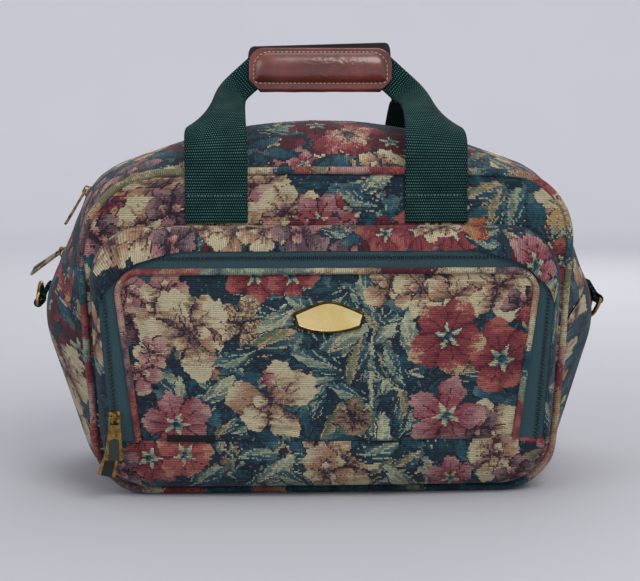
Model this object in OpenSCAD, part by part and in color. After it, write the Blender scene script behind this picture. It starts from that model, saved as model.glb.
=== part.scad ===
// Soft tapestry travel bag with a front pocket, two webbing handles and a leather grip
// Millimetres. The base stands on z = 0, the front faces -Y and +X is to the right of the front.

/* [Body] */
// Width of the front and rear panels at the shoulders
panel_w = 392; // [350:2:430]
// Height of the top edge of the panels above the floor
panel_h = 256; // [240:1:280]
// How far each side of a panel draws in at the foot
panel_taper = 16; // [0:1:20]
// Depth of the body from panel to panel
body_d = 190; // [150:2:230]
// Radius of the top corners of the panels
shoulder_r = 50; // [36:1:60]
// How much rounder the slumped left shoulder is than the right one
shoulder_slump = 14; // [0:1:20]
// Radius of the bottom corners of the panels
foot_r = 40; // [30:1:46]
// How far the sides belly out at mid depth
side_belly = 47; // [24:1:54]
// How far above the panels the two slopes of the top would meet
ridge_rise = 69; // [40:1:76]
// Thickness of the padded tapestry
cloth_t = 3; // [2:0.5:4]
// How far the front and rear panels bow outwards
panel_bow = 5; // [0:0.5:10]
// Radius of the piping
piping_r = 3; // [2:0.25:4]

/* [Pocket] */
// Height of the top of the pocket above the floor
pocket_h = 218; // [200:1:224]
// Depth of the pocket at its zipper
pocket_d = 24; // [14:1:36]
// How far the pocket face bows out past its zipper
face_bow = 16; // [6:1:24]
// Height of the seam under the pocket face
seam_z = 48; // [48:1:60]
// Distance between the two legs of the pocket zipper at its top
pocket_span = 359; // [330:1:362]
// How far each leg of the pocket zipper draws in at its foot
leg_draw = 12; // [6:1:16]
// Width of the badge
badge_w = 56; // [40:1:90]
// Height of the badge
badge_h = 25.5; // [20:0.5:32]
// Width of the woven label
label_w = 38; // [20:1:50]

/* [Zippers] */
// Width of zipper shown along the ridge
zip_w = 24; // [18:1:32]
// Length of a slider
slider_l = 9.5; // [9:0.5:11]
// Length of a pull
pull_l = 34; // [28:1:38]
// Width of a pull at its foot
pull_w = 15; // [12:0.5:18]
// How far the upper pocket slider is parked above the lower one
park_gap = 14; // [13.5:0.5:20]

/* [Handles] */
// Width of the handle webbing
strap_w = 50; // [40:1:56]
// Thickness of the handle webbing
strap_t = 2; // [1.4:0.1:2.4]
// Distance between the two legs of a handle
strap_span = 176; // [160:2:210]
// Height of the folded handles above the top edge of the panels
grip_rise = 99; // [94:1:124]
// Length of the leather grip
grip_l = 121; // [100:1:126]
// Thickness of the leather
leather_t = 2.2; // [1.4:0.1:3]

/* [Rings] */
// Width of the webbing loops that hold the rings
tab_w = 25; // [18:1:30]
// Radius of the ring wire
wire_r = 1.9; // [1.4:0.1:2.4]

/* [Hidden] */

// Clearances
gap = 0.3;
hair = 0.1;

// Vectors
function unit(v) = v / norm(v);
function mix(a, b, t) = a + (b - a) * t;
function clamp01(t) = max(0, min(1, t));
function mirrored(p) = [-p[0], p[1], p[2]];

// A rounded corner at b between a and c, as points with their outward normals
function corner(a, b, c, r, n) =
    let (u = unit(a - b),
         v = unit(c - b),
         half = acos(u * v) / 2,
         centre = b + unit(u + v) * r / sin(half),
         p = b + u * r / tan(half) - centre,
         q = b + v * r / tan(half) - centre,
         start = atan2(p[1], p[0]),
         turn = (atan2(q[1], q[0]) - start + 540) % 360 - 180)
    [for (i = [0:n])
        let (d = [cos(start + turn * i / n), sin(start + turn * i / n)])
        [centre + r * d, d]];

// Body outlines: apex, shoulder, side and foot, clockwise as seen from the front
apex_n = 8;
shoulder_n = 6;
side_n = 3;
foot_n = 6;
function closed_outline(v) =
    let (m = len(v))
    [for (k = [0:m - 1])
        each corner(v[(k + m - 1) % m][0], v[k][0], v[(k + 1) % m][0], v[k][1], v[k][2])];
function body_outline(apex, shoulder, side, foot, slump) =
    closed_outline([
        [[0, apex[0]], apex[1], apex_n],
        [[shoulder[0], shoulder[1]], shoulder[2], shoulder_n],
        [[side[0], side[1]], side[2], side_n],
        [[foot[0], foot[1]], foot[2], foot_n],
        [[-foot[0], foot[1]], foot[2], foot_n],
        [[-side[0], side[1]], side[2], side_n],
        [[-shoulder[0], shoulder[1]], shoulder[2] + slump, shoulder_n]]);

half_d = body_d / 2;
panel_half = panel_w / 2;
panel_foot = panel_half - panel_taper;
panel_z0 = 2 * piping_r + 0.4;
panel_mid_z = (panel_h + panel_z0) / 2;
side_x = (panel_half + panel_foot) / 2 + 2;
panel_crown = 3;
panel_apex_r = 900;
panel_side_r = 60;
ridge_r = 400;
ridge_shoulder_r = 60;
belly_r = 70;
panel_ring = body_outline([panel_h + panel_crown, panel_apex_r],
                          [panel_half + 1, panel_h, shoulder_r],
                          [side_x, panel_mid_z, panel_side_r],
                          [panel_foot, panel_z0, foot_r],
                          shoulder_slump);
mid_ring = body_outline([panel_h + ridge_rise, ridge_r],
                        [panel_half - 6, panel_h + 2, ridge_shoulder_r],
                        [side_x + side_belly, panel_mid_z + 11, belly_r],
                        [panel_foot + 8, 0, foot_r + 3],
                        0);
ring_n = len(mid_ring);
zip_right = apex_n + 1 + shoulder_n + 1;
zip_left = ring_n - shoulder_n - 2;
zip_path = [for (k = [zip_left:ring_n - 1]) k, for (k = [0:zip_right]) k];
base_path = [for (k = [zip_right:zip_left]) k];

// The gusset swells from the panels to mid depth
zip_half = zip_w / 2;
function swell(y) = 1 - pow(max(0, abs(y) - zip_half) / (half_d - zip_half), 2);
function gusset_skin(k, y, depth) =
    let (w = swell(y),
         p = mix(panel_ring[k][0], mid_ring[k][0], w),
         n = unit(mix(panel_ring[k][1], mid_ring[k][1], w)))
    [p[0] - n[0] * depth, y, p[1] - n[1] * depth];
strip_steps = [0, 0.16, 0.36, 0.58, 0.8, 1];
strip_ys = [for (t = strip_steps) mix(hair - half_d, -zip_half, t)];
all_ys = concat(strip_ys, [for (i = [len(strip_ys) - 1:-1:0]) -strip_ys[i]]);

// The front panel bows forward a little
function panel_y(x, z) =
    -half_d - cloth_t - panel_bow * max(0, 1 - pow(x / panel_half, 2))
    * max(0, 1 - pow((z - panel_mid_z) / (panel_mid_z - panel_z0), 2));

// Faces of a grid of rows, of its back and of its four edges
function grid_faces(m, n, wrap, base, flip) =
    [for (i = [0:m - 2], j = [0:wrap ? n - 1 : n - 2])
        let (a = base + i * n + j,
             b = base + i * n + (j + 1) % n,
             c = b + n,
             d = a + n)
        each flip ? [[a, c, b], [a, d, c]] : [[a, b, c], [a, c, d]]];
function row_wall(n, wrap, first, back, flip) =
    [for (j = [0:wrap ? n - 1 : n - 2])
        let (a = first + j,
             b = first + (j + 1) % n,
             c = b + back,
             d = a + back)
        each flip ? [[a, b, c], [a, c, d]] : [[b, a, d], [b, d, c]]];
function side_wall(m, n, first, back, flip) =
    [for (i = [0:m - 2])
        let (a = first + i * n,
             d = a + n,
             c = d + back,
             b = a + back)
        each flip ? [[a, c, d], [a, b, c]] : [[a, d, c], [a, c, b]]];
function flat(rows) = [for (r = rows) each r];

// A sheet with thickness between two grids of points
module sheet(outer, inner, wrap = false) {
    m = len(outer);
    n = len(outer[0]);
    back = m * n;
    edges = wrap ? [] : concat(side_wall(m, n, 0, back, false), side_wall(m, n, n - 1, back, true));
    polyhedron(points = concat(flat(outer), flat(inner)),
               faces = concat(grid_faces(m, n, wrap, 0, false),
                              grid_faces(m, n, wrap, back, true),
                              row_wall(n, wrap, 0, back, false),
                              row_wall(n, wrap, (m - 1) * n, back, true),
                              edges),
               convexity = 6);
}

// A closed cushion: rings of points from the rim to the middle, front and back
module cushion(front, back, front_mid, back_mid) {
    m = len(front);
    n = len(front[0]);
    size = m * n;
    last = size - n;
    polyhedron(points = concat(flat(front), flat(back), [front_mid, back_mid]),
               faces = concat(grid_faces(m, n, true, 0, false),
                              grid_faces(m, n, true, size, true),
                              row_wall(n, true, 0, size, false),
                              [for (j = [0:n - 1]) [last + j, last + (j + 1) % n, 2 * size]],
                              [for (j = [0:n - 1])
                                  [size + last + (j + 1) % n, size + last + j, 2 * size + 1]]),
               convexity = 6);
}

// A section carried along a path, as a loop or with closed ends
module carried(rows, loop = false) {
    m = len(rows);
    n = len(rows[0]);
    closed = loop ? concat(rows, [rows[0]]) : rows;
    faces = loop
        ? [for (i = [0:m - 1], j = [0:n - 1])
            let (a = i * n + j,
                 b = i * n + (j + 1) % n,
                 c = ((i + 1) % m) * n + (j + 1) % n,
                 d = ((i + 1) % m) * n + j)
            each [[a, b, c], [a, c, d]]]
        : concat(grid_faces(m, n, true, 0, false),
                 [[for (j = [n - 1:-1:0]) j]],
                 [[for (j = [0:n - 1]) (m - 1) * n + j]]);
    polyhedron(points = flat(rows), faces = faces, convexity = 6);
}

// Round section at a point of an outline that lies in the plane of y
function round_section(p, n, y, r, steps) =
    [for (i = [0:steps - 1])
        let (a = -360 * i / steps)
        [p[0] + n[0] * r * cos(a), y + r * sin(a), p[1] + n[1] * r * cos(a)]];

// Padded tapestry panels
panel_rings = [1, 0.94, 0.8, 0.55, 0.25];
module panel() {
    function at(k, s) = mix([0, panel_mid_z], panel_ring[k][0], s);
    function skin(p, depth) = [p[0], panel_y(p[0], p[1]) + depth, p[1]];
    rows = [for (s = panel_rings) [for (k = [0:ring_n - 1]) skin(at(k, s), 0)]];
    inner = [for (s = panel_rings) [for (k = [0:ring_n - 1]) skin(at(k, s), cloth_t - hair)]];
    cushion(rows, inner, skin([0, panel_mid_z], 0), skin([0, panel_mid_z], cloth_t - hair));
}

module front_panel() {
    color("#3a4a52") panel();
}

module rear_panel() {
    color("#3a4a52") mirror([0, 1, 0]) panel();
}

// Top strips on both sides of the main zipper
module gusset_strip() {
    sheet([for (y = strip_ys) [for (k = zip_path) gusset_skin(k, y, 0)]],
          [for (y = strip_ys) [for (k = zip_path) gusset_skin(k, y, cloth_t)]]);
}

module gusset_front() {
    color("#35505a") gusset_strip();
}

module gusset_rear() {
    color("#35505a") mirror([0, 1, 0]) gusset_strip();
}

// Lower sides and base in one length, with a seam under the top strips
module base_gusset() {
    function seam(k) = k == zip_left || k == zip_right ? [0, 0, gap] : [0, 0, 0];
    function skin(k, y, depth) = gusset_skin(k, y, depth) - seam(k);
    color("#33464f")
    sheet([for (y = all_ys) [for (k = base_path) skin(k, y, 0)]],
          [for (y = all_ys) [for (k = base_path) skin(k, y, cloth_t)]]);
}

// Piping round the front and rear panels
module piping() {
    offset_out = piping_r + 0.2;
    carried([for (k = [0:ring_n - 1])
        let (n = panel_ring[k][1])
        round_section(panel_ring[k][0] + n * offset_out, n, -half_d - 2, piping_r, 8)], loop = true);
}

module front_piping() {
    color("#7a5a50") piping();
}

module rear_piping() {
    color("#7a5a50") mirror([0, 1, 0]) piping();
}

// Stiff board that lies in the base
board_t = 3;
module base_board() {
    w = 2 * (panel_foot - foot_r);
    d = body_d - 24;
    seat = panel_z0 * (1 - swell(d / 2)) + cloth_t + 0.2;
    color("#4a4038") translate([-w / 2, -d / 2, seat]) cube([w, d, board_t]);
}

// Main zipper along the ridge
tape_t = 1.2;
coil_h = 1.4;
coil_w = 2.6;
tape_drop = 1.2;
tape_slit = 0.7;
coil_slit = 0.55;
function ridge_point(k, y, depth) =
    let (p = mid_ring[k][0] - mid_ring[k][1] * depth)
    [p[0], y, p[1]];
module ridge_band(y0, y1, top, bottom) {
    sheet([for (y = [y0, y1]) [for (k = zip_path) ridge_point(k, y, top)]],
          [for (y = [y0, y1]) [for (k = zip_path) ridge_point(k, y, bottom)]]);
}

module main_zip_tapes() {
    color("#20383a") {
        ridge_band(hair - zip_half, -tape_slit, tape_drop, tape_drop + tape_t);
        ridge_band(tape_slit, zip_half - hair, tape_drop, tape_drop + tape_t);
    }
}

module main_zip_coils() {
    color("#182a2c") {
        ridge_band(-coil_w, -coil_slit, tape_drop - coil_h, tape_drop);
        ridge_band(coil_slit, coil_w, tape_drop - coil_h, tape_drop);
    }
}

// Zipper slider, with x across the track, y along it and z out of the tape
plate_z = coil_h + 0.4;
plate_t = 1.3;
plate_w = 9.2;
bar_r = 0.9;
bridge_w = 3;
pivot_z = plate_z + plate_t + 1.6;
bridge_in = 2.6;
bridge_out = 3.8;
bridge_top = pivot_z + bar_r + gap + 1;
module slider_plate(w, l, t) {
    linear_extrude(height = t)
        polygon([[-w / 2, l / 2 - 1.2], [1.2 - w / 2, l / 2], [w / 2 - 1.2, l / 2], [w / 2, l / 2 - 1.2],
                 [w / 2 - 0.8, 1.2 - l / 2], [w / 2 - 2, -l / 2], [2 - w / 2, -l / 2],
                 [0.8 - w / 2, 1.2 - l / 2]]);
}

module slider() {
    flange_t = 1.1;
    flange_l = slider_l - 3;
    translate([0, 0, plate_z]) slider_plate(plate_w, slider_l, plate_t);
    translate([0, 0, -tape_t - 1.6]) slider_plate(plate_w - 0.8, slider_l, 1.2);
    for (s = [-1, 1])
        translate([s * (coil_w + 0.4 + flange_t / 2) - flange_t / 2, -flange_l / 2, 0.4])
            cube([flange_t, flange_l, plate_z]);
    translate([-0.3, 0.6, -tape_t - 1]) cube([0.6, 3, tape_t + plate_z + 1.4]);
    translate([-bridge_w / 2, 0, 0]) rotate([90, 0, 90]) linear_extrude(height = bridge_w)
        difference() {
            polygon([[-bridge_out, plate_z + 0.6], [bridge_out, plate_z + 0.6],
                     [bridge_out, bridge_top - 1.2], [bridge_out - 1.2, bridge_top],
                     [1.2 - bridge_out, bridge_top], [-bridge_out, bridge_top - 1.2]]);
            translate([-bridge_in, plate_z + plate_t])
                square([2 * bridge_in, bridge_top - 1 - plate_z - plate_t]);
        }
}

// Pull, hung from its cross bar at the origin and reaching down to -Y
pull_t = 1.8;
pull_head = 4.7;
eye_half = 3.4;
eye_l = 6;
window_w = 0.58 * pull_w;
window_l = 0.5 * pull_l;
module pull_window(grow) {
    r = window_w / 2 - 0.4;
    y = window_l - pull_l - r;
    polygon(concat([[window_w / 2 + grow, 0.01 - pull_l]],
                   [for (a = [0:15:180]) [(r + grow) * cos(a), y + (r + grow) * sin(a)]],
                   [[-window_w / 2 - grow, 0.01 - pull_l]]));
}

module pull_frame() {
    linear_extrude(height = pull_t, center = true)
        difference() {
            polygon([[-pull_head, bar_r], [pull_head, bar_r], [pull_head, -eye_l - 2],
                     [pull_w / 2, 1.2 - pull_l], [pull_w / 2 - 1, -pull_l],
                     [1 - pull_w / 2, -pull_l], [-pull_w / 2, 1.2 - pull_l], [-pull_head, -eye_l - 2]]);
            translate([-eye_half, -eye_l]) square([2 * eye_half, eye_l + bar_r + 1]);
            pull_window(hair);
            translate([-window_w / 2 - hair, -pull_l - 1]) square([window_w + 2 * hair, 1.1]);
        }
    rotate([0, 90, 0]) cylinder(h = 2 * eye_half + 0.2, r = bar_r, center = true, $fn = 32);
}

module pull_inlay() {
    linear_extrude(height = pull_t - 0.4, center = true) pull_window(0);
}

// Lift a pull off its slider, leaning it sideways first
module hung(lean, lift) {
    translate([0, 0, pivot_z]) rotate([0, 0, lean]) rotate([-lift, 0, 0]) children();
}

// Places of the main sliders: on the straight left side, and on the arc of the left shoulder
track_low = mid_ring[zip_left][0];
track_high = mid_ring[zip_left + 1][0];
track_n = mid_ring[zip_left][1];
track_dir = unit(track_high - track_low);
track_tilt = atan2(track_dir[0], track_dir[1]);
arc_centre = track_high - track_n * ridge_shoulder_r;
arc_r = ridge_shoulder_r - tape_drop;
low_start = 24;
arc_start = 8;
low_lean = -25;
low_lift = 30;
high_lift = 1;
module on_side_track() {
    p = track_low + track_dir * low_start - track_n * tape_drop;
    translate([p[0], 0, p[1]]) rotate([0, track_tilt, 0]) rotate([0, 0, -90]) rotate([90, 0, 0])
        children();
}

module on_shoulder_arc() {
    a = track_tilt + arc_start;
    translate([arc_centre[0] - arc_r * cos(a), 0, arc_centre[1] + arc_r * sin(a)])
        rotate([0, a, 0]) rotate([0, 0, -90]) rotate([90, 0, 0]) children();
}

module main_slider_lower() {
    color("#8c6a3a") on_side_track() slider();
}

module main_slider_upper() {
    color("#8c6a3a") on_shoulder_arc() slider();
}

module main_pull_lower() {
    color("#a8813f") on_side_track() hung(low_lean, low_lift) pull_frame();
}

module main_pull_upper() {
    color("#a8813f") on_shoulder_arc() hung(0, high_lift) pull_frame();
}

module main_inlay_lower() {
    color("#1f3430") on_side_track() hung(low_lean, low_lift) pull_inlay();
}

module main_inlay_upper() {
    color("#1f3430") on_shoulder_arc() hung(0, high_lift) pull_inlay();
}

// Paths of the pocket: up the left leg, across the top and down the right leg
top_n = 6;
function u_path(foot_x, top_x, z0, z1, r) =
    let (left = corner([-foot_x, z0], [-top_x, z1], [top_x, z1], r, 6),
         right = corner([-top_x, z1], [top_x, z1], [foot_x, z0], r, 6))
    concat([[[-foot_x, z0], left[0][1]]],
           left,
           [for (i = [1:top_n - 1]) [mix(left[6][0], right[0][0], i / top_n), [0, 1]]],
           right,
           [[[foot_x, z0], right[6][1]]]);
function leg_half(z) = panel_half - panel_taper * (1 - z / panel_h) - 1.2;

zip_y = -half_d - cloth_t - pocket_d;
tape_y = zip_y + 1;
coil_x = pocket_span / 2;
coil_foot = coil_x - leg_draw;
coil_top = pocket_h - 24;
coil_r = 28;
tape_out = 5;
tape_in = 8;
foot_in = 14;
edge_x = leg_half(seam_z);
rim_path = u_path(edge_x, leg_half(pocket_h), seam_z + hair, pocket_h, 44);
tape_path = u_path(coil_foot + tape_out, coil_x + tape_out, seam_z + hair,
                   coil_top + tape_out, coil_r + tape_out);
tape_edge = u_path(coil_foot - foot_in, coil_x - tape_in, seam_z + hair,
                   coil_top - tape_in, coil_r - tape_in);
function coil_path(d) = u_path(coil_foot + d, coil_x + d, seam_z + hair, coil_top + d, coil_r + d);
function path_points(path) = [for (p = path) p[0]];
function reversed(list) = [for (i = [len(list) - 1:-1:0]) list[i]];
module flat_band(outer, inner, front, t) {
    translate([0, front + t, 0]) rotate([90, 0, 0]) linear_extrude(height = t)
        polygon(concat(path_points(outer), reversed(path_points(inner))));
}

// Wall of the pocket, from the body to the edge of its zipper
wall_steps = [0, 0.2, 0.42, 0.7, 1];
function rim_y(x, z) = panel_y(x, z) - gap;
function wall_skin(k, s, depth) =
    let (a = 90 * s,
         rim = rim_path[k],
         edge = tape_path[k],
         p = mix(rim[0], edge[0] + edge[1] * hair, 1 - cos(a)),
         y = mix(rim_y(rim[0][0], rim[0][1]) - gap, zip_y, sin(a)),
         n = unit([edge[1][0] * cos(a), -sin(a), edge[1][1] * cos(a)]))
    [p[0], y, p[1]] - n * depth;
module pocket_gusset() {
    count = len(rim_path) - 1;
    color("#3d5258")
    sheet([for (s = wall_steps) [for (k = [count:-1:0]) wall_skin(k, s, 0)]],
          [for (s = wall_steps) [for (k = [count:-1:0]) wall_skin(k, s, cloth_t)]]);
}

// Pocket face, bowed out inside its piping
cord_r = 2.6;
face_set = 2 * cord_r + 0.6;
face_foot = coil_foot - foot_in - face_set;
face_top = coil_x - tape_in - face_set;
face_z1 = coil_top - tape_in - face_set;
face_r = coil_r - tape_in - 3;
face_mid = mix(seam_z, face_z1, 0.45);
function face_side(z) = mix(face_foot, face_top, clamp01((z - seam_z) / (face_z1 - seam_z)));
function face_half(z) =
    z < face_z1 - face_r
        ? face_side(z)
        : face_side(z) - face_r + sqrt(max(0, face_r * face_r - pow(z - face_z1 + face_r, 2)));
function face_rise(z) =
    z > face_mid
        ? 1 - pow((z - face_mid) / (face_z1 - face_mid), 2)
        : 1 - 0.35 * pow((face_mid - z) / (face_mid - seam_z), 2);
function face_y(x, z) =
    zip_y - face_bow * (1 - pow(min(1, abs(x) / face_side(z)), 2.4)) * max(0, face_rise(z));
face_us = [-1, -0.96, -0.88, -0.75, -0.58, -0.4, -0.2, 0, 0.2, 0.4, 0.58, 0.75, 0.88, 0.96, 1];
face_zs = concat([for (t = [0, 0.14, 0.3, 0.46, 0.62, 0.8]) mix(seam_z + hair, face_z1 - face_r, t)],
                 [for (a = [0, 30, 55, 75, 90]) face_z1 - face_r + face_r * sin(a)]);
module pocket_face() {
    function skin(u, z, depth) =
        let (x = u * face_half(z))
        [x, face_y(x, z) + depth, z];
    color("#465a5c")
    sheet([for (z = face_zs) [for (u = reversed(face_us)) skin(u, z, 0)]],
          [for (z = face_zs) [for (u = reversed(face_us)) skin(u, z, cloth_t)]]);
}

// Lower band, from the seam under the face round to the foot of the bag
tape_x = coil_foot + tape_out;
band_xs = concat([for (t = [1, 0.8, 0.5, 0]) mix(tape_x, edge_x, t)],
                 [for (t = [0.72, 0.3]) mix(face_foot, tape_x, t)],
                 [for (t = [1, 0.9, 0.75, 0.5, 0.25, 0]) face_foot * t]);
band_cols = concat(band_xs, [for (i = [len(band_xs) - 2:-1:0]) -band_xs[i]]);
band_vs = [0, 0.18, 0.38, 0.6, 0.8, 1];
function band_top(x) =
    let (f = clamp01((abs(x) - tape_x) / (edge_x - tape_x)),
         s = acos(f))
    abs(x) < face_foot
        ? face_y(x, seam_z)
        : mix(rim_y(edge_x, seam_z) - gap, zip_y, sin(s));
function band_foot(x) =
    let (e = max(0, abs(x) - panel_foot + foot_r))
    panel_z0 + 1 + foot_r - sqrt(max(0, foot_r * foot_r - e * e));
function band_skin(x, v, depth) =
    let (a = 90 * v,
         e = 90 * clamp01((abs(x) - tape_x) / (edge_x - tape_x)),
         z = mix(seam_z - hair, min(seam_z - 0.8, band_foot(x)), sin(a)),
         y = mix(rim_y(x, z) - gap, band_top(x), pow(max(0, cos(a)), 0.7)),
         n = unit([sign(x) * sin(e) * cos(a), -cos(e) * cos(a), -sin(a)]))
    [x, y, z] - n * depth;
module pocket_lower_band() {
    color("#435458")
    sheet([for (v = band_vs) [for (x = reversed(band_cols)) band_skin(x, v, 0)]],
          [for (v = band_vs) [for (x = reversed(band_cols)) band_skin(x, v, cloth_t)]]);
}

// Piping between the pocket zipper and the face
module pocket_piping() {
    d = cord_r + 0.3;
    path = u_path(coil_foot - foot_in - d, coil_x - tape_in - d, seam_z + gap,
                  coil_top - tape_in - d, coil_r - tape_in - d);
    color("#7a5a50") carried([for (p = path) round_section(p[0], p[1], zip_y, cord_r, 8)]);
}

module pocket_zip_tapes() {
    color("#20383a") {
        flat_band(tape_path, coil_path(tape_slit), tape_y, tape_t);
        flat_band(coil_path(-tape_slit), tape_edge, tape_y, tape_t);
    }
}

module pocket_zip_coils() {
    color("#182a2c") {
        flat_band(coil_path(coil_w), coil_path(coil_slit), tape_y - coil_h, coil_h);
        flat_band(coil_path(-coil_slit), coil_path(-coil_w), tape_y - coil_h, coil_h);
    }
}

// Pocket sliders, parked together at the foot of the left leg
park_s = slider_l / 2 + 1.2;
park_lift = 19.5;
high_lean = -5;
park_lean = -19;
leg_dir = unit([-leg_draw, coil_top - seam_z]);
leg_tilt = atan2(leg_dir[0], leg_dir[1]);
module on_pocket_leg(s) {
    translate([-coil_foot + leg_dir[0] * s, tape_y, seam_z + leg_dir[1] * s])
        rotate([0, leg_tilt, 0]) rotate([90, 0, 0]) children();
}

module pocket_slider_lower() {
    color("#8c6a3a") on_pocket_leg(park_s) slider();
}

module pocket_slider_upper() {
    color("#8c6a3a") on_pocket_leg(park_s + park_gap) slider();
}

module pocket_pull_lower() {
    color("#a8813f") on_pocket_leg(park_s) hung(park_lean, 0) pull_frame();
}

module pocket_pull_upper() {
    color("#a8813f") on_pocket_leg(park_s + park_gap) hung(high_lean, park_lift) pull_frame();
}

module pocket_inlay_lower() {
    color("#1f3430") on_pocket_leg(park_s) hung(park_lean, 0) pull_inlay();
}

module pocket_inlay_upper() {
    color("#1f3430") on_pocket_leg(park_s + park_gap) hung(high_lean, park_lift) pull_inlay();
}

// Plate on the pocket face
badge_x = 0;
badge_z = face_z1 - 32;
badge_t = 2;
badge_rise = 9;
badge_sag = 4.5;
badge_draw = 2.5;
badge_peak = 0.35;
function peaked(t) =
    1 - (sqrt(t * t + badge_peak * badge_peak) - badge_peak) / (sqrt(1 + badge_peak * badge_peak) - badge_peak);
module badge() {
    w = badge_w / 2;
    h = badge_h / 2;
    ts = [-1:0.125:1];
    top = [for (t = ts) [t * w, h - badge_rise * (1 - peaked(t))]];
    foot = [for (t = ts) [-t * (w - badge_draw), badge_sag * t * t - h]];
    color("#b08a3c") translate([badge_x, face_y(badge_x, badge_z - h) - gap, badge_z]) rotate([90, 0, 0])
        linear_extrude(height = badge_t)
            polygon(concat(top, foot));
}

// Small woven label above the seam
label_x = -109;
label_h = 5.5;
label_t = 0.8;
module woven_label() {
    xs = [for (t = [0, 0.25, 0.5, 0.75, 1]) label_x + label_w * (0.5 - t)];
    zs = [seam_z + 0.5, seam_z + 0.5 + label_h];
    color("#15191a")
    sheet([for (z = zs) [for (x = xs) [x, face_y(x, z) - hair - label_t, z]]],
          [for (z = zs) [for (x = xs) [x, face_y(x, z) - hair, z]]]);
}

// Handle webbing: up the panel, over to the grip and folded in half along its length
fold_l = 5;
grip_y = 3.5 + strap_t;
grip_z = panel_h + grip_rise;
strap_x = strap_span / 2;
strap_z0 = pocket_h + 2;
strap_z1 = panel_h - 12;
strap_z2 = panel_h + 2 * piping_r + 4;
strap_off = strap_t / 2 + 0.4;
strap_foot = [-strap_x, panel_y(strap_x, strap_z0) - strap_off, strap_z0];
strap_sewn = [-strap_x, panel_y(strap_x, strap_z1) - strap_off, strap_z1];
strap_seat = [-strap_x, -half_d - 2 - piping_r - strap_off - 0.2, strap_z2];
strap_end = [-grip_l / 2 + 1, -grip_y, grip_z];
strap_slope = 42;
strap_way = [cos(strap_slope), 0, sin(strap_slope)];
strap_run = 22;
strap_exit = strap_end - strap_run * strap_way;
strap_turn = [-grip_l / 2 + 3 + strap_w / 2 * sin(strap_slope), -grip_y, grip_z];
function bend(t) =
    let (p1 = strap_seat + [0, -4, 46],
         p2 = strap_exit - 26 * strap_way - [0, 9, 0],
         s = 1 - t)
    s * s * s * strap_seat + 3 * s * s * t * p1 + 3 * s * t * t * p2 + t * t * t * strap_exit;
function bend_dir(t) = unit(bend(min(1, t + 0.01)) - bend(max(0, t - 0.01)));
function strap_section(p, dir, fold) =
    let (inward = unit(cross(dir, [0, -1, 0])),
         face = cross(inward, dir),
         a = max(1, fold),
         r = fold_l / (a * PI / 180),
         h = (strap_w - fold_l) / 2,
         line = concat([[h + fold_l / 2, 0, 0]],
                       [for (k = [0:4])
                           let (b = a * k / 4)
                           [fold_l / 2 - r * sin(b), r * cos(b) - r, b]],
                       [[fold_l / 2 - r * sin(a) - h * cos(a), r * cos(a) - r - h * sin(a), a]]),
         side = [for (s = [1, -1])
             [for (c = line)
                 let (u = c[0] - s * sin(c[2]) * strap_t / 2,
                      v = c[1] + s * cos(c[2]) * strap_t / 2)
                 p + inward * u + face * v]])
    concat(side[0], reversed(side[1]));
fold_ts = [0.06, 0.14, 0.24, 0.34, 0.44, 0.54, 0.64, 0.74, 0.84, 0.93];
fold_full = 179;
function fold_at(t) = fold_full * pow(clamp01((t - 0.04) / 0.88), 2);
half_strap = concat(
    [strap_section(strap_foot, unit(strap_sewn - strap_foot), 0)],
    [strap_section(strap_sewn, unit(strap_seat - strap_foot), 0)],
    [strap_section(strap_seat, unit(strap_seat - strap_sewn), 0)],
    [for (t = fold_ts) strap_section(bend(t), bend_dir(t), fold_at(t))],
    [for (p = [strap_exit, strap_end]) strap_section(p, strap_way, fold_full)],
    [strap_section(strap_turn, [1, 0, 0], fold_full)],
    [strap_section([0, -grip_y, grip_z], [1, 0, 0], fold_full)]);
module handle() {
    last = len(half_strap) - 1;
    carried(concat(half_strap,
                   [for (i = [last - 1:-1:0]) [for (p = half_strap[i]) mirrored(p)]]));
}

module handle_front() {
    color("#22352f") handle();
}

module handle_rear() {
    color("#1f302b") mirror([0, 1, 0]) handle();
}

// Leather grip, wrapped under both handles and open along its top
wrap_in = grip_y + strap_t / 2 + gap;
wrap_out = wrap_in + leather_t;
wrap_z0 = grip_z - strap_w / 2 - strap_t - 1 - leather_t;
front_flap = 7;
rear_flap = 12;
front_z = grip_z + front_flap;
rear_z = grip_z + rear_flap;
flap_r = 9;
bend_r = 4;
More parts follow.
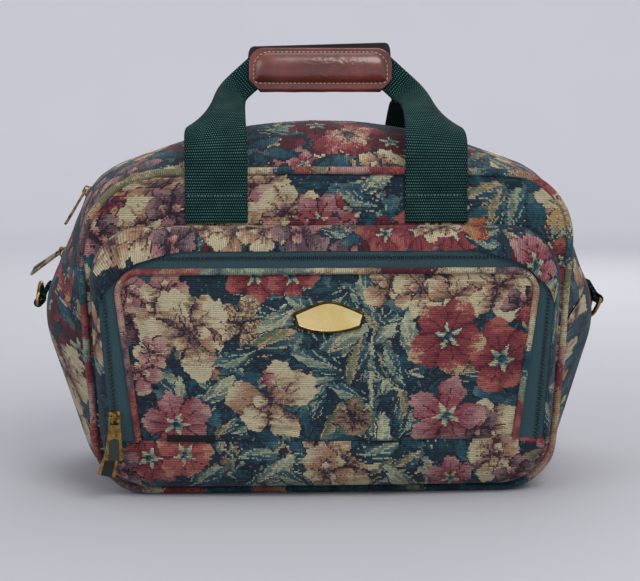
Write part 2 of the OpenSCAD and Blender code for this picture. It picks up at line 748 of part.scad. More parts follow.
// Corner cut from the wrap's ends, where the handles come out on a slope
strap_drop = strap_w / 2 * (1 - cos(strap_slope)) + strap_t + 1;
end_cut = 1.5 + strap_w / 2 * sin(strap_slope) - strap_drop / tan(strap_slope) + leather_t;
function quarter(cy, cz, r, a0) = [for (a = [a0:15:a0 + 90]) [cy + r * cos(a), cz + r * sin(a)]];
module grip_wrap() {
    x0 = -grip_l / 2;
    by = wrap_out - bend_r;
    bz = wrap_z0 + bend_r;
    inner_r = bend_r - leather_t + 0.4;
    iy = wrap_in - inner_r;
    iz = wrap_z0 + leather_t + inner_r;
    color("#6b2a22") difference() {
        union() {
            translate([x0, 0, 0]) rotate([90, 0, 90]) linear_extrude(height = grip_l)
                polygon(concat([[-wrap_out, bz + 4]],
                               quarter(-by, bz, bend_r, 180),
                               quarter(by, bz, bend_r, 270),
                               [[wrap_out, grip_z - 8], [wrap_out + 3, rear_z],
                                [wrap_in + 3, rear_z], [wrap_in, grip_z - 8]],
                               reversed(quarter(iy, iz, inner_r, 270)),
                               reversed(quarter(-iy, iz, inner_r, 180)),
                               [[-wrap_in, bz + 4]]));
            translate([0, -wrap_in, 0]) rotate([90, 0, 0]) linear_extrude(height = leather_t)
                polygon(concat([[x0, bz + 3], [-x0, bz + 3]],
                               quarter(-x0 - flap_r, front_z - flap_r, flap_r, 0),
                               quarter(x0 + flap_r, front_z - flap_r, flap_r, 90)));
        }
        for (side = [-1, 1])
            translate([side * x0, 0, wrap_z0]) rotate([0, 45, 0])
                cube([end_cut * sqrt(2), 3 * wrap_out, end_cut * sqrt(2)], center = true);
    }
}

// Padded front of the grip
pad_t = 6;
module grip_pad() {
    inset = 5;
    w = grip_l / 2 - inset;
    z0 = wrap_z0 + 8;
    z1 = front_z - inset;
    mid = [0, (z0 + z1) / 2];
    ring = closed_outline([[[-w, z1], 7, 4], [[w, z1], 7, 4], [[w, z0], 4, 4], [[-w, z0], 4, 4]]);
    levels = [[1, 0], [0.99, 0.35], [0.95, 0.65], [0.86, 0.86], [0.6, 0.97]];
    y = -wrap_out - hair;
    function at(p, l) =
        [p[0] - sign(p[0]) * (1 - l[0]) * (z1 - z0), y - 0.6 - pad_t * l[1], mix(mid[1], p[1], l[0])];
    rows = [for (l = levels) [for (p = ring) at(p[0], l)]];
    back = [for (l = levels) [for (p = ring) [at(p[0], l)[0], y, at(p[0], l)[2]]]];
    color("#7a3328") cushion(rows, back, [0, y - 0.6 - pad_t, mid[1]], [0, y, mid[1]]);
}

// Rings in webbing loops at the two ends of the main zipper
loop_t = 1.7;
bore_r = wire_r + gap;
bow_r = tab_w / 2 + wire_r + 1.4;
ring_seat = mid_ring[zip_left - 1];
bar_drop = 4.4;
left_out = 7.9;
right_out = 8.4;
root_out = 1.05;
root_up = 12.8;
function beside_seat(out, up) =
    let (n = ring_seat[1])
    ring_seat[0] + n * out + [n[1], -n[0]] * up;
function across(p) = [-p[0], p[1]];
left_bar = beside_seat(left_out, -bar_drop);
left_root = beside_seat(root_out, root_up);
right_bar = across(beside_seat(right_out, -bar_drop));
right_root = across(left_root);
left_lean = 5;
right_lean = 20;
module ring_tab(bar, root) {
    dir = root - bar;
    l = norm(dir);
    outer = bore_r + loop_t;
    translate([bar[0], tab_w / 2, bar[1]]) rotate([90, 0, 0]) rotate([0, 0, atan2(dir[1], dir[0])])
        linear_extrude(height = tab_w)
            difference() {
                union() {
                    circle(r = outer, $fn = 48);
                    polygon([[0.6, -outer * 0.98], [6.5, -loop_t], [l, -loop_t],
                             [l, loop_t], [6.5, loop_t], [0.6, outer * 0.98]]);
                }
                circle(r = bore_r, $fn = 48);
            }
}

module ring_tab_left() {
    color("#22352f") ring_tab(left_bar, left_root);
}

module ring_tab_right() {
    color("#22352f") ring_tab(right_bar, right_root);
}

module d_ring() {
    rotate([90, 0, 0]) cylinder(h = 2 * bow_r, r = wire_r, center = true, $fn = 32);
    rotate([90, 0, 90]) rotate_extrude(angle = 180, $fn = 64)
        translate([bow_r, 0]) circle(r = wire_r, $fn = 24);
    for (s = [-1, 1]) translate([0, s * bow_r, 0]) sphere(r = wire_r, $fn = 32);
}

module d_ring_left() {
    color("#a8813f") translate([left_bar[0], 0, left_bar[1]]) rotate([0, left_lean, 0]) d_ring();
}

module d_ring_right() {
    color("#a8813f") translate([right_bar[0], 0, right_bar[1]]) rotate([0, 180 + right_lean, 0]) d_ring();
}

front_panel();
rear_panel();
gusset_front();
gusset_rear();
base_gusset();
front_piping();
rear_piping();
base_board();
main_zip_tapes();
main_zip_coils();
main_slider_lower();
main_slider_upper();
main_pull_lower();
main_pull_upper();
main_inlay_lower();
main_inlay_upper();
pocket_gusset();
pocket_lower_band();
pocket_face();
pocket_piping();
pocket_zip_tapes();
pocket_zip_coils();
pocket_slider_lower();
pocket_slider_upper();
pocket_pull_lower();
pocket_pull_upper();
pocket_inlay_lower();
pocket_inlay_upper();
badge();
woven_label();
handle_front();
handle_rear();
grip_wrap();
grip_pad();
ring_tab_left();
ring_tab_right();
d_ring_left();
d_ring_right();
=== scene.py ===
"""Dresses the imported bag: tapestry, piping, zippers, webbing handles, leather grip and brass."""
import math

import bpy
import numpy as np
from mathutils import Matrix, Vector


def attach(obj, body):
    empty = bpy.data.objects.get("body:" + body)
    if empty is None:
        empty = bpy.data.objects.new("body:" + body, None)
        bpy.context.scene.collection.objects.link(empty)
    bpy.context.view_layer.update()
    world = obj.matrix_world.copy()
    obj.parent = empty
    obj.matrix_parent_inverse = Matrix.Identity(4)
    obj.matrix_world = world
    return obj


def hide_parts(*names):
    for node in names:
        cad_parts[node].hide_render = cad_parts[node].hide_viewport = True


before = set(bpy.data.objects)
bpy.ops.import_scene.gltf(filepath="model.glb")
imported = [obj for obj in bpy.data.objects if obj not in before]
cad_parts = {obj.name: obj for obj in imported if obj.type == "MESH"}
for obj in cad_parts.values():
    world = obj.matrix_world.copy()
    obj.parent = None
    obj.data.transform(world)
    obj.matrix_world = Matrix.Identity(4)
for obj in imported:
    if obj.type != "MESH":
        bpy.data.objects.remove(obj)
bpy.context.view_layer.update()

# Sizes in millimetres, as in the part's source
PANEL_HALF, PANEL_H, PANEL_FOOT, PANEL_Z0 = 196.0, 256.0, 180.0, 6.4
PANEL_MID = (PANEL_H + PANEL_Z0) / 2
HALF_D, CLOTH, PANEL_BOW = 95.0, 3.0, 5.0
SIDE_X, SIDE_BELLY = 190.0, 47.0
SHOULDER_R, SHOULDER_SLUMP, FOOT_R = 50.0, 14.0, 40.0
ZIP_HALF = 12.0
PIPING_R, CORD_R = 3.0, 2.6
POCKET_H, SEAM_Z, FACE_BOW = 218.0, 48.0, 16.0
ZIP_Y, TAPE_Y = -122.0, -121.0
COIL_X, COIL_FOOT, COIL_TOP, COIL_R = 179.5, 167.5, 194.0, 28.0
TAPE_OUT, TAPE_IN, FOOT_IN = 5.0, 8.0, 14.0
STRAP_W, STRAP_T, STRAP_X = 50.0, 2.0, 88.0
GRIP_Z, GRIP_L, GRIP_Y = 355.0, 121.0, 5.5
LEATHER, FLAP_R = 2.2, 13.0
STRAP_SLOPE, STRAP_RUN = 42.0, 22.0
END_CUT = 9.97     # corner cut from the ends of the grip
WRAP_IN = GRIP_Y + STRAP_T / 2 + 0.3
WRAP_OUT = WRAP_IN + LEATHER
WRAP_Z0 = GRIP_Z - STRAP_W / 2 - STRAP_T - 1 - LEATHER
RIB = 1.5          # pitch of the tapestry's ribs
TWIST = 0.85       # pitch of the yarn's twist
WEB_RIB = 2.3      # pitch of the webbing's ribs
WEB_DOT = 1.8      # pitch of the flecks along a rib, bumps that carry a painted highlight
TWILL = 1.1        # pitch of the zipper tape's twill
TOOTH = 1.55       # pitch of the zippers' teeth
SEWN_H = PANEL_H - 14   # height of the stitches across the handles' ends


# Small numeric helpers

def unit(v):
    v = np.asarray(v, float)
    return v / np.maximum(np.linalg.norm(v, axis=-1, keepdims=True), 1e-12)


def mix(a, b, t):
    return a + (b - a) * t


def smooth(t):
    t = np.clip(t, 0, 1)
    return t * t * (3 - 2 * t)


def noise(u, v, scale, seed, stretch=1.0):
    """Smooth noise from -1 to 1; stretch lengthens it along u."""
    table = np.random.default_rng(seed).uniform(-1, 1, (64, 64))
    a, b = u / (scale * stretch), v / scale
    i, j = np.floor(a).astype(int), np.floor(b).astype(int)
    f, g = smooth(a - i), smooth(b - j)
    i0, j0, i1, j1 = i % 64, j % 64, (i + 1) % 64, (j + 1) % 64
    return mix(mix(table[i0, j0], table[i1, j0], f), mix(table[i0, j1], table[i1, j1], f), g)


def linear(code):
    """An sRGB colour code as linear values."""
    c = np.array([int(code[i:i + 2], 16) for i in (1, 3, 5)]) / 255
    return np.where(c <= 0.04045, c / 12.92, ((c + 0.055) / 1.055) ** 2.4)


# Outlines, as rounded polygons in the plane of x and z

def corner(a, b, c, r, n=40):
    a, b, c = (np.asarray(p, float) for p in (a, b, c))
    u, v = unit(a - b), unit(c - b)
    half = math.acos(float(np.clip(u @ v, -1, 1))) / 2
    centre = b + unit(u + v) * r / math.sin(half)
    p = b + u * r / math.tan(half) - centre
    q = b + v * r / math.tan(half) - centre
    start = math.atan2(p[1], p[0])
    turn = (math.atan2(q[1], q[0]) - start + 3 * math.pi) % (2 * math.pi) - math.pi
    a = start + turn * np.linspace(0, 1, n + 1)
    return centre + r * np.stack([np.cos(a), np.sin(a)], 1)


def ring(apex, shoulder, side, foot, slump=0.0):
    """Four quarters of a body outline: top right, right, left and top left."""
    v = [((0, apex[0]), apex[1])]
    v += [(p[:2], p[2]) for p in (shoulder, side, foot)]
    v += [((-p[0], p[1]), p[2] + d) for p, d in ((foot, 0), (side, 0), (shoulder, slump))]
    arcs = [corner(v[k - 1][0], v[k][0], v[(k + 1) % 7][0], v[k][1]) for k in range(7)]
    half = len(arcs[0]) // 2
    bottom = np.array([[0.0, foot[1]]])
    return [np.concatenate(parts) for parts in (
        (arcs[0][half:], arcs[1], arcs[2][:1]),
        (arcs[2], arcs[3], bottom),
        (bottom, arcs[4], arcs[5]),
        (arcs[5][-1:], arcs[6], arcs[0][:half + 1]))]


def along(line, t):
    """Points of a line at shares t of its length."""
    d = run_along(line)
    return np.stack([np.interp(t * d[-1], d, line[:, k]) for k in range(line.shape[1])], -1)


def length(line):
    return float(np.linalg.norm(np.diff(line, axis=0), axis=1).sum())


def run_along(line):
    """Length of a line up to each of its points."""
    return np.concatenate([[0], np.cumsum(np.linalg.norm(np.diff(line, axis=0), axis=1))])


def upright(flat, y=0.0):
    """Points of the plane of x and z, set at a depth y."""
    return np.stack([flat[..., 0], np.broadcast_to(y, flat.shape[:-1]), flat[..., 1]], -1)


def facing(x, y, z, like):
    """One direction for each point of a list."""
    return np.broadcast_to([float(x), float(y), float(z)], like.shape)


def on_ring(quarters, f):
    """Points of an outline at places f from 0 to 4, clockwise from the middle of the top."""
    f = np.asarray(f, float) % 4
    out = np.zeros(f.shape + (2,))
    for k, line in enumerate(quarters):
        here = np.floor(f).astype(int) == k
        out[here] = along(line, f[here] - k)
    return out


def outward(points, closed):
    """Normals of a line that runs clockwise."""
    if closed:
        t = np.roll(points, -1, 0) - np.roll(points, 1, 0)
    else:
        t = np.gradient(points, axis=0)
    t = unit(t)
    return np.stack([-t[:, 1], t[:, 0]], 1)


PANEL_RING = ring((PANEL_H + 3, 900), (PANEL_HALF + 1, PANEL_H, SHOULDER_R),
                  (SIDE_X, PANEL_MID, 60), (PANEL_FOOT, PANEL_Z0, FOOT_R), SHOULDER_SLUMP)
MID_SHOULDER = (PANEL_HALF - 6, PANEL_H + 2)
MID_SIDE, SIDE_R = (SIDE_X + SIDE_BELLY, PANEL_MID + 11), 70
MID_FOOT = (PANEL_FOOT + 8, 0)
MID_RING = ring((PANEL_H + 69, 400), (*MID_SHOULDER, 60), (*MID_SIDE, SIDE_R), (*MID_FOOT, FOOT_R + 3))


def swell(y):
    return 1 - (np.maximum(0, np.abs(y) - ZIP_HALF) / (HALF_D - ZIP_HALF)) ** 2


def panel_y(x, z):
    bow = np.maximum(0, 1 - (x / PANEL_HALF) ** 2)
    bow = bow * np.maximum(0, 1 - ((z - PANEL_MID) / (PANEL_MID - PANEL_Z0)) ** 2)
    return -HALF_D - CLOTH - PANEL_BOW * bow


def leg_half(z):
    return PANEL_HALF - 16 * (1 - z / PANEL_H) - 1.2


def u_path(foot_x, top_x, z0, z1, r, counts):
    """Up the left leg, across the top and down the right leg, in five runs of given counts."""
    left = corner((-foot_x, z0), (-top_x, z1), (top_x, z1), r)
    right = corner((-top_x, z1), (top_x, z1), (foot_x, z0), r)
    runs = (np.array([[-foot_x, z0], left[0]]), left, np.array([left[-1], right[0]]),
            right, np.array([right[-1], [foot_x, z0]]))
    points = [along(run, np.linspace(0, 1, n + 1)[:-1]) for run, n in zip(runs, counts)]
    return np.concatenate(points + [runs[-1][-1:]])


# Meshes

def quads(rows, cols, wrap=False):
    """Faces of a grid of points, row by row; wrap joins the last column to the first."""
    i, j = np.meshgrid(np.arange(rows - 1), np.arange(cols if wrap else cols - 1), indexing="ij")
    a = i * cols + j
    b = i * cols + (j + 1) % cols
    return np.stack([a, b, b + cols, a + cols], -1).reshape(-1, 4)


def centres(grid):
    """Middles of a grid's cells."""
    return (grid[:-1, :-1] + grid[1:, :-1] + grid[:-1, 1:] + grid[1:, 1:]) / 4


def make_piece(name, points, faces, material, replaces=(), uv=None, rgb=None):
    """A smooth mesh in the frame from points in millimetres, riding on the bag."""
    mesh = bpy.data.meshes.new(name)
    points = np.asarray(points, float).reshape(-1, 3) / 1000
    faces = [tuple(int(k) for k in f) for f in faces]
    mesh.from_pydata([tuple(p) for p in points], [], faces)
    corners = np.zeros(len(mesh.loops), np.int32)
    mesh.loops.foreach_get("vertex_index", corners)
    if uv is not None:
        layer = mesh.uv_layers.new(name="cloth")
        layer.data.foreach_set("uv", np.asarray(uv, np.float32).reshape(-1, 2)[corners].ravel())
    if rgb is not None:
        colours = mesh.color_attributes.new("weave", "FLOAT_COLOR", "CORNER")
        sizes = np.array([len(f) for f in faces])
        values = np.ones((len(corners), 4), np.float32)
        values[:, :3] = np.repeat(rgb, sizes, axis=0)
        colours.data.foreach_set("color", values.ravel())
    mesh.polygons.foreach_set("use_smooth", np.full(len(faces), True))
    mesh.materials.append(material)
    mesh.update()
    piece = bpy.data.objects.new(name, mesh)
    bpy.context.scene.collection.objects.link(piece)
    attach(piece, "bag")
    if replaces:
        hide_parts(*replaces)
    return piece


def grid_normals(grid):
    """Unit normals of a grid of points."""
    du = np.gradient(grid, axis=1)
    dv = np.gradient(grid, axis=0)
    return unit(np.cross(du, dv))


def slab(outer, inner):
    """Points and faces of a sheet with thickness between two grids."""
    m, n = outer.shape[:2]
    size = m * n
    points = np.concatenate([outer.reshape(-1, 3), inner.reshape(-1, 3)])
    front = quads(m, n)
    back = front[:, ::-1] + size
    top, bottom = np.arange(n), (m - 1) * n + np.arange(n)
    left, right = np.arange(m) * n, np.arange(m) * n + n - 1
    walls = [(e[k], e[k + 1], e[k + 1] + size, e[k] + size) if flip else
             (e[k + 1], e[k], e[k] + size, e[k + 1] + size)
             for e, flip in ((top, False), (bottom, True), (left, True), (right, False))
             for k in range(len(e) - 1)]
    return points, np.concatenate([front, back, np.array(walls)])


def tube(centre, out, side, radius, steps, closed):
    """A round cord: points of its sections and its faces; radius may vary along it."""
    a = np.arange(steps) * 2 * math.pi / steps
    radius = np.broadcast_to(radius, (len(centre),))[:, None, None]
    points = centre[:, None] + radius * (out[:, None] * np.cos(a)[None, :, None]
                                         + side[:, None] * np.sin(a)[None, :, None])
    rows = len(centre)
    faces = quads(rows, steps, wrap=True)
    if closed:
        j = np.arange(steps)
        last = (rows - 1) * steps
        faces = np.concatenate([faces, np.stack([last + j, last + (j + 1) % steps,
                                                 (j + 1) % steps, j], -1)])
    return points, faces


def beads(places, along_dir, out_dir, half_length, half_width, half_height, rings=4, steps=6):
    """Many small rounded bars, as one set of points and faces."""
    th = np.linspace(0, math.pi, rings + 1)[1:-1]
    ph = np.arange(steps) * 2 * math.pi / steps
    shape = np.stack([np.repeat(np.cos(th), steps),
                      np.outer(np.sin(th), np.cos(ph)).ravel(),
                      np.outer(np.sin(th), np.sin(ph)).ravel()], 1)
    shape = np.concatenate([[[1, 0, 0]], shape, [[-1, 0, 0]]])
    body = quads(rings - 1, steps, wrap=True) + 1
    j = np.arange(steps)
    tail = 1 + (rings - 2) * steps
    caps = [(0, 1 + (k + 1) % steps, 1 + k) for k in j]
    caps += [(len(shape) - 1, tail + k, tail + (k + 1) % steps) for k in j]
    across = np.cross(out_dir, along_dir)
    size = np.broadcast_to(np.array([half_length, half_width, half_height], float), (len(places), 3))
    points = (places[:, None]
              + (shape[None, :, 0] * size[:, 0:1])[..., None] * along_dir[:, None]
              + (shape[None, :, 1] * size[:, 1:2])[..., None] * across[:, None]
              + (shape[None, :, 2] * size[:, 2:3])[..., None] * out_dir[:, None])
    faces = [tuple(f + i * len(shape)) for i in range(len(places)) for f in body]
    faces += [tuple(k + i * len(shape) for k in f) for i in range(len(places)) for f in caps]
    return points.reshape(-1, 3), faces


# Tapestry colours, woven cell by cell

YARN = {name: linear(code) for name, code in dict(
    ink="#141c28", navy="#1b2838", deep="#1c3440", teal="#22444e", blue="#28505e", slate="#4e6466",
    sage="#727f70", pale="#97a088", olive="#77775c", moss="#55624f", cream="#bbb091", sand="#a99677",
    tan="#927760", peach="#a67b64", brown="#6d5548", plum="#3a2730", mauve="#604a50", lilac="#7d6a6a",
    pink="#94686b", blush="#ab827b", rose="#87474e", coral="#98564f", brick="#7d3a3f", red="#692c35",
    wine="#4f1f29", orange="#a4683d", gold="#a98850").items()}

# Flowers that fill the ground between the placed ones
SCATTERED = [("bloom", "red"), ("peony", "cream"), ("bloom", "rose"), ("peony", "tan"), ("peony", "mauve"),
             ("bloom", "burgundy"), ("peony", "cream"), ("bloom", "redcream")]

# Each tone: threads from the heart of a petal to its tip, then its edge and its veins
TONES = {name: ([YARN[n] for n in ramp.split()], YARN[edge], YARN[vein])
         for name, (ramp, edge, vein) in dict(
    red=("wine red brick brick coral coral", "wine", "wine"),
    redcream=("wine red brick brick coral sand", "wine", "wine"),
    coral=("brick coral coral peach", "wine", "brick"),
    rose=("wine rose rose pink pink blush", "plum", "wine"),
    burgundy=("plum wine wine red", "ink", "ink"),
    burst=("cream blush coral brick red wine", "wine", "peach"),
    cream=("plum mauve tan sand cream cream cream", "plum", "brown"),
    tan=("plum brown tan peach sand cream", "plum", "brown"),
    sunset=("plum red brick peach sand cream", "plum", "wine"),
    pink=("wine pink pink blush sand", "plum", "rose"),
    mauve=("plum plum mauve mauve lilac pink", "ink", "plum"),
    striped=("plum brown sand brown cream tan", "ink", "brown"),
    brown=("plum brown brown tan moss", "ink", "plum"),
    olive=("moss olive olive sand", "navy", "sand"),
    sage=("deep teal slate sage sage pale pale", "navy", "pale"),
    teal=("navy deep teal blue slate", "ink", "blue"),
    pale=("slate sage pale pale cream", "deep", "cream"),
    lilac=("mauve lilac sage lilac", "ink", "plum"),
    orange=("wine brick orange peach", "ink", "wine"),
    gold=("brown gold sand gold cream", "plum", "brown")).items()}


def away(x, y, far, angle):
    """The point that lies far from x, y at an angle in degrees."""
    return x + far * math.cos(math.radians(angle)), y + far * math.sin(math.radians(angle))


class Weave:
    """The colours of a cloth's small cells; u and v are places on the cloth in millimetres."""

    def __init__(self, u, v, seed, ribs="v"):
        self.rng = np.random.default_rng(seed)
        self.u, self.v = u.ravel().copy(), v.ravel().copy()
        run, rib = (self.u, self.v) if ribs == "v" else (self.v, self.u)
        row = np.floor(rib / RIB).astype(int)
        run += self.rng.uniform(-0.9, 0.9, 1024)[row % 1024]
        self.grain = self.rng.random(len(self.u))
        self.streak = noise(run, rib, 1.5, seed + 1, 5.0)
        self.ragged = noise(self.u, self.v, 4.5, seed + 4) + 0.5 * noise(self.u, self.v, 2.2, seed + 5)
        self.rgb = np.zeros((len(self.u), 3))
        self.ground(seed)

    def paint(self, where, ramp, t):
        ramp = np.asarray(ramp)
        k = np.clip(np.floor(t * len(ramp)), 0, len(ramp) - 1).astype(int)
        self.rgb[where] = ramp[k]

    def ground(self, seed):
        tone = noise(self.u, self.v, 46, seed + 2) + 0.5 * noise(self.u, self.v, 17, seed + 3)
        ramp = [YARN[n] for n in ("ink", "navy", "navy", "deep", "navy", "deep", "teal")]
        every = np.arange(len(self.u))
        self.paint(every, ramp, 0.5 + 0.36 * tone + 0.24 * self.streak)
        fleck = self.grain > 0.955
        specks = [YARN[n] for n in ("teal", "slate", "moss")]
        self.paint(np.nonzero(fleck)[0], specks, self.rng.random(fleck.sum()))

    def petal(self, x, y, long, half, angle, tone, fullness=0.85, bend=0.0, two_tone=None, point=0.7):
        """One petal or leaf from its base at x, y towards an angle in degrees."""
        ramp, edge, vein = TONES[tone]
        near = np.nonzero((np.abs(self.u - x) < 1.1 * long) & (np.abs(self.v - y) < 1.1 * long))[0]
        if not len(near):
            return
        c, s = math.cos(math.radians(angle)), math.sin(math.radians(angle))
        du, dv = self.u[near] - x, self.v[near] - y
        ragged = self.ragged[near]
        a = (du * c + dv * s) / long / (1 + 0.07 * ragged)
        b = (dv * c - du * s) / half - bend * np.sin(np.clip(a, 0, 1) * math.pi)
        body = np.sin(math.pi * np.clip(a, 0, 1) ** fullness) ** point * (1 + 0.13 * ragged)
        inside = (a > 0) & (a < 1) & (np.abs(b) < body)
        near, a, b, body = near[inside], a[inside], b[inside], body[inside]
        grain, streak = self.grain[near], self.streak[near]
        t = 1.02 * a + 0.22 * (grain - 0.5) + 0.17 * streak - 0.3 * smooth((b - 0.15) / 0.7)
        self.paint(near, ramp, t)
        if two_tone:
            shade = b < 0.05
            self.paint(near[shade], TONES[two_tone][0], t[shade])
            ribs = np.abs((np.abs(b) * 1.6 - 2.4 * a) % 1.0 - 0.5) < 0.1
            self.rgb[near[ribs & (a > 0.15) & (a < 0.85) & (grain < 0.8)]] = vein
        if half > 2.5:
            self.rgb[near[(np.abs(b) * half < 0.55) & (a > 0.06) & (a < 0.66) & (grain < 0.85)]] = vein
            self.rgb[near[((body - np.abs(b)) * half < 0.95) & ((b > 0) | (a < 0.5))]] = edge

    def bloom(self, x, y, r, turn, tone):
        """A five-petalled flower with a pale star at its heart."""
        r = 1.16 * r
        for k in range(5):
            self.petal(x, y, r * self.rng.uniform(0.9, 1.1), 0.39 * r,
                       turn + 72 * k + self.rng.uniform(-7, 7), tone, 1.2,
                       self.rng.uniform(-0.15, 0.15), point=0.85)
        star = "tan" if tone == "burst" else "pale"
        for k in range(5):
            self.petal(x, y, 0.36 * r, 0.075 * r, turn + 36 + 72 * k, star, 0.7)
        self.petal(x - 0.1 * r, y, 0.2 * r, 0.1 * r, 0, "teal")

    def peony(self, x, y, r, turn, tone):
        """An open flower of broad, uneven petals."""
        r = 1.38 * r
        swap = {"cream": "tan", "tan": "cream", "mauve": "pink", "pink": "cream"}.get(tone, tone)
        for k in range(5):
            self.petal(x, y, r * self.rng.uniform(0.8, 1.15), r * self.rng.uniform(0.33, 0.44),
                       turn + 72 * k + self.rng.uniform(-16, 16), swap if k % 3 == 2 else tone, 1.45,
                       self.rng.uniform(-0.3, 0.3), point=0.6)
        for k in range(3):
            self.petal(x, y, 0.46 * r, 0.17 * r, turn + 40 + 120 * k, tone if k % 2 else swap, 1.2)
        self.petal(x - 0.1 * r, y, 0.24 * r, 0.09 * r, turn, "mauve")

    def leaf(self, x, y, long, turn, tone):
        darker = {"sage": "teal", "pale": "sage", "olive": "teal", "cream": "olive",
                  "tan": "brown"}.get(tone, tone)
        self.petal(*away(x, y, -long / 2, turn), 1.12 * long, 0.23 * long, turn, tone, 0.8,
                   self.rng.uniform(-0.5, 0.5), darker)

    def leafy(self, x, y, long, turn, tone):
        """A slender curling petal."""
        self.petal(*away(x, y, -long / 2, turn), long, 0.13 * long, turn, tone, 0.9, 0.9)

    def stem(self, x, y, long, turn, tone):
        self.petal(x, y, long, 0.022 * long + 0.6, turn, tone, 0.9, 1.5)
        for k in range(1, 5):
            leaf = turn + (48 if k % 2 else -48)
            self.petal(*away(x, y, long * k / 5, turn), 0.24 * long, 0.06 * long, leaf, tone, 0.8)

    def bud(self, x, y, r, turn, tone):
        self.petal(x, y, 1.7 * r, 0.5 * r, turn, tone, 1.0)
        for d in (-24, 24):
            self.petal(x, y, 0.8 * r, 0.16 * r, turn + d, "sage", 0.8)

    def fill(self, low, high, pitch, seed, share=0.4):
        """Leaves scattered over an area, with flowers in a share of the places."""
        rng = np.random.default_rng(seed)
        for v in np.arange(low[1], high[1] + pitch, pitch):
            for u in np.arange(low[0], high[0] + pitch, pitch):
                for k in range(3):
                    p = rng.uniform(-0.7, 0.7, 2) * pitch
                    self.leaf(u + p[0], v + p[1], rng.uniform(0.7, 1.05) * pitch, rng.uniform(0, 360),
                              rng.choice(["sage", "teal", "teal", "olive", "teal", "teal"]))
                p = rng.uniform(-0.3, 0.3, 2) * pitch
                if rng.random() > share:
                    continue
                kind, tone = SCATTERED[rng.integers(len(SCATTERED))]
                self.place([(kind, u + p[0], v + p[1], rng.uniform(0.4, 0.62) * pitch,
                             rng.uniform(0, 360), tone)])

    def place(self, motifs):
        for kind, x, y, size, turn, tone in motifs:
            getattr(self, kind)(x, y, size, turn, tone)

    def done(self):
        """Colours with the small unevenness of dyed yarn."""
        shade = 1 + 0.2 * (self.rng.random(len(self.u)) - 0.5) + 0.08 * self.streak
        return self.rgb * shade[:, None]


# Motifs on each cloth, painted in this order

def motifs(table):
    """Rows of a kind of motif, then the place in millimetres, size, turn in degrees and tone of each."""
    made = []
    for row in table.strip().splitlines():
        kind, *places = row.split()
        for place in places:
            *numbers, tone = place.split(",")
            made.append((kind, *(int(n) for n in numbers), tone))
    return made


FACE_MOTIFS = motifs("""
    leaf -23,137,31,250,sage -34,141,28,60,sage 1,161,36,205,sage 34,161,41,110,sage
    leaf 40,137,35,130,olive -19,113,31,20,teal 1,104,35,200,sage -8,80,31,75,sage
    leaf -18,66,28,100,teal 18,88,31,160,sage 48,104,30,120,olive 34,62,35,95,sage
    leaf 39,50,39,80,pale -66,62,35,15,sage -52,56,30,330,teal -29,50,31,120,sage
    leaf -82,58,24,50,olive -92,107,24,335,tan -117,88,24,92,pale -105,98,22,60,teal
    leaf -70,109,31,200,teal -70,86,27,5,sage 13,50,31,170,teal 68,104,27,60,teal
    leaf 56,82,31,280,olive 151,161,27,230,teal
    stem 39,46,102,92,pale 34,82,47,35,pale 1,82,47,150,sage
    peony 21,68,13,20,brown
    leaf 55,106,36,118,sage
    bloom -58,180,20,270,red -29,180,19,280,red
    peony -155,147,19,40,mauve -158,167,14,10,pink -134,156,16,150,tan -69,143,17,70,striped
    leaf -82,112,30,330,sage -136,112,28,70,sage
    peony -128,169,13,60,pink -110,137,27,200,cream
    leafy -109,147,30,118,cream -89,129,24,290,cream
    leaf -38,150,40,215,pale -46,128,44,20,olive -16,144,46,130,sage 8,128,44,35,pale
    leaf -6,112,40,160,sage 22,112,38,75,olive -72,118,34,200,sage 66,132,34,100,pale
    leaf 62,66,30,60,sage -88,92,32,40,pale
    peony -45,82,24,20,cream
    bloom -120,63,26,110,rose
    peony -149,104,13,80,pink -141,121,11,30,pink 50,172,16,10,tan 75,169,17,250,cream
    peony 100,163,16,300,tan 135,171,21,280,cream 157,157,13,200,mauve 130,60,19,120,cream
    peony 118,62,14,10,mauve
    bloom 93,71,26,80,rose 137,114,27,100,red 95,133,29,65,redcream
    bud 160,133,14,100,red -58,94,11,30,rose -164,120,13,100,pink
""")
BAND_MOTIFS = motifs("""
    leaf 11,247,35,20,sage 27,239,32,150,teal 39,251,32,35,pale 47,226,31,100,sage
    leaf 3,235,29,80,teal 132,226,45,65,olive 152,224,45,75,sage 172,221,40,110,teal
    leaf 122,243,37,20,olive 188,210,32,120,tan 116,222,32,40,teal
    peony -174,237,21,30,sunset -132,247,23,80,cream -145,221,21,200,cream -166,206,18,300,tan
    peony -113,209,19,20,cream -124,229,16,120,mauve -52,247,20,70,cream -52,227,20,150,pink
    peony -31,229,19,100,cream -70,209,21,10,tan -84,226,19,50,cream
    bloom -7,221,20,60,rose -15,206,19,200,burgundy
    bud 24,229,13,140,red
    leaf 30,238,34,160,sage
    bloom 47,208,19,30,burgundy 84,213,24,80,red
    peony 96,209,10,20,cream
    bud 140,213,18,170,orange 185,203,19,80,gold
    peony -183,209,15,70,mauve
    bloom 193,188,18,30,red
    leaf 198,158,32,100,sage
    peony -187,166,18,60,cream
    bloom -183,133,18,20,red
    leaf -184,93,32,80,teal
    peony 193,117,16,20,cream
    bloom 188,76,16,60,red -183,60,16,60,burgundy
""")
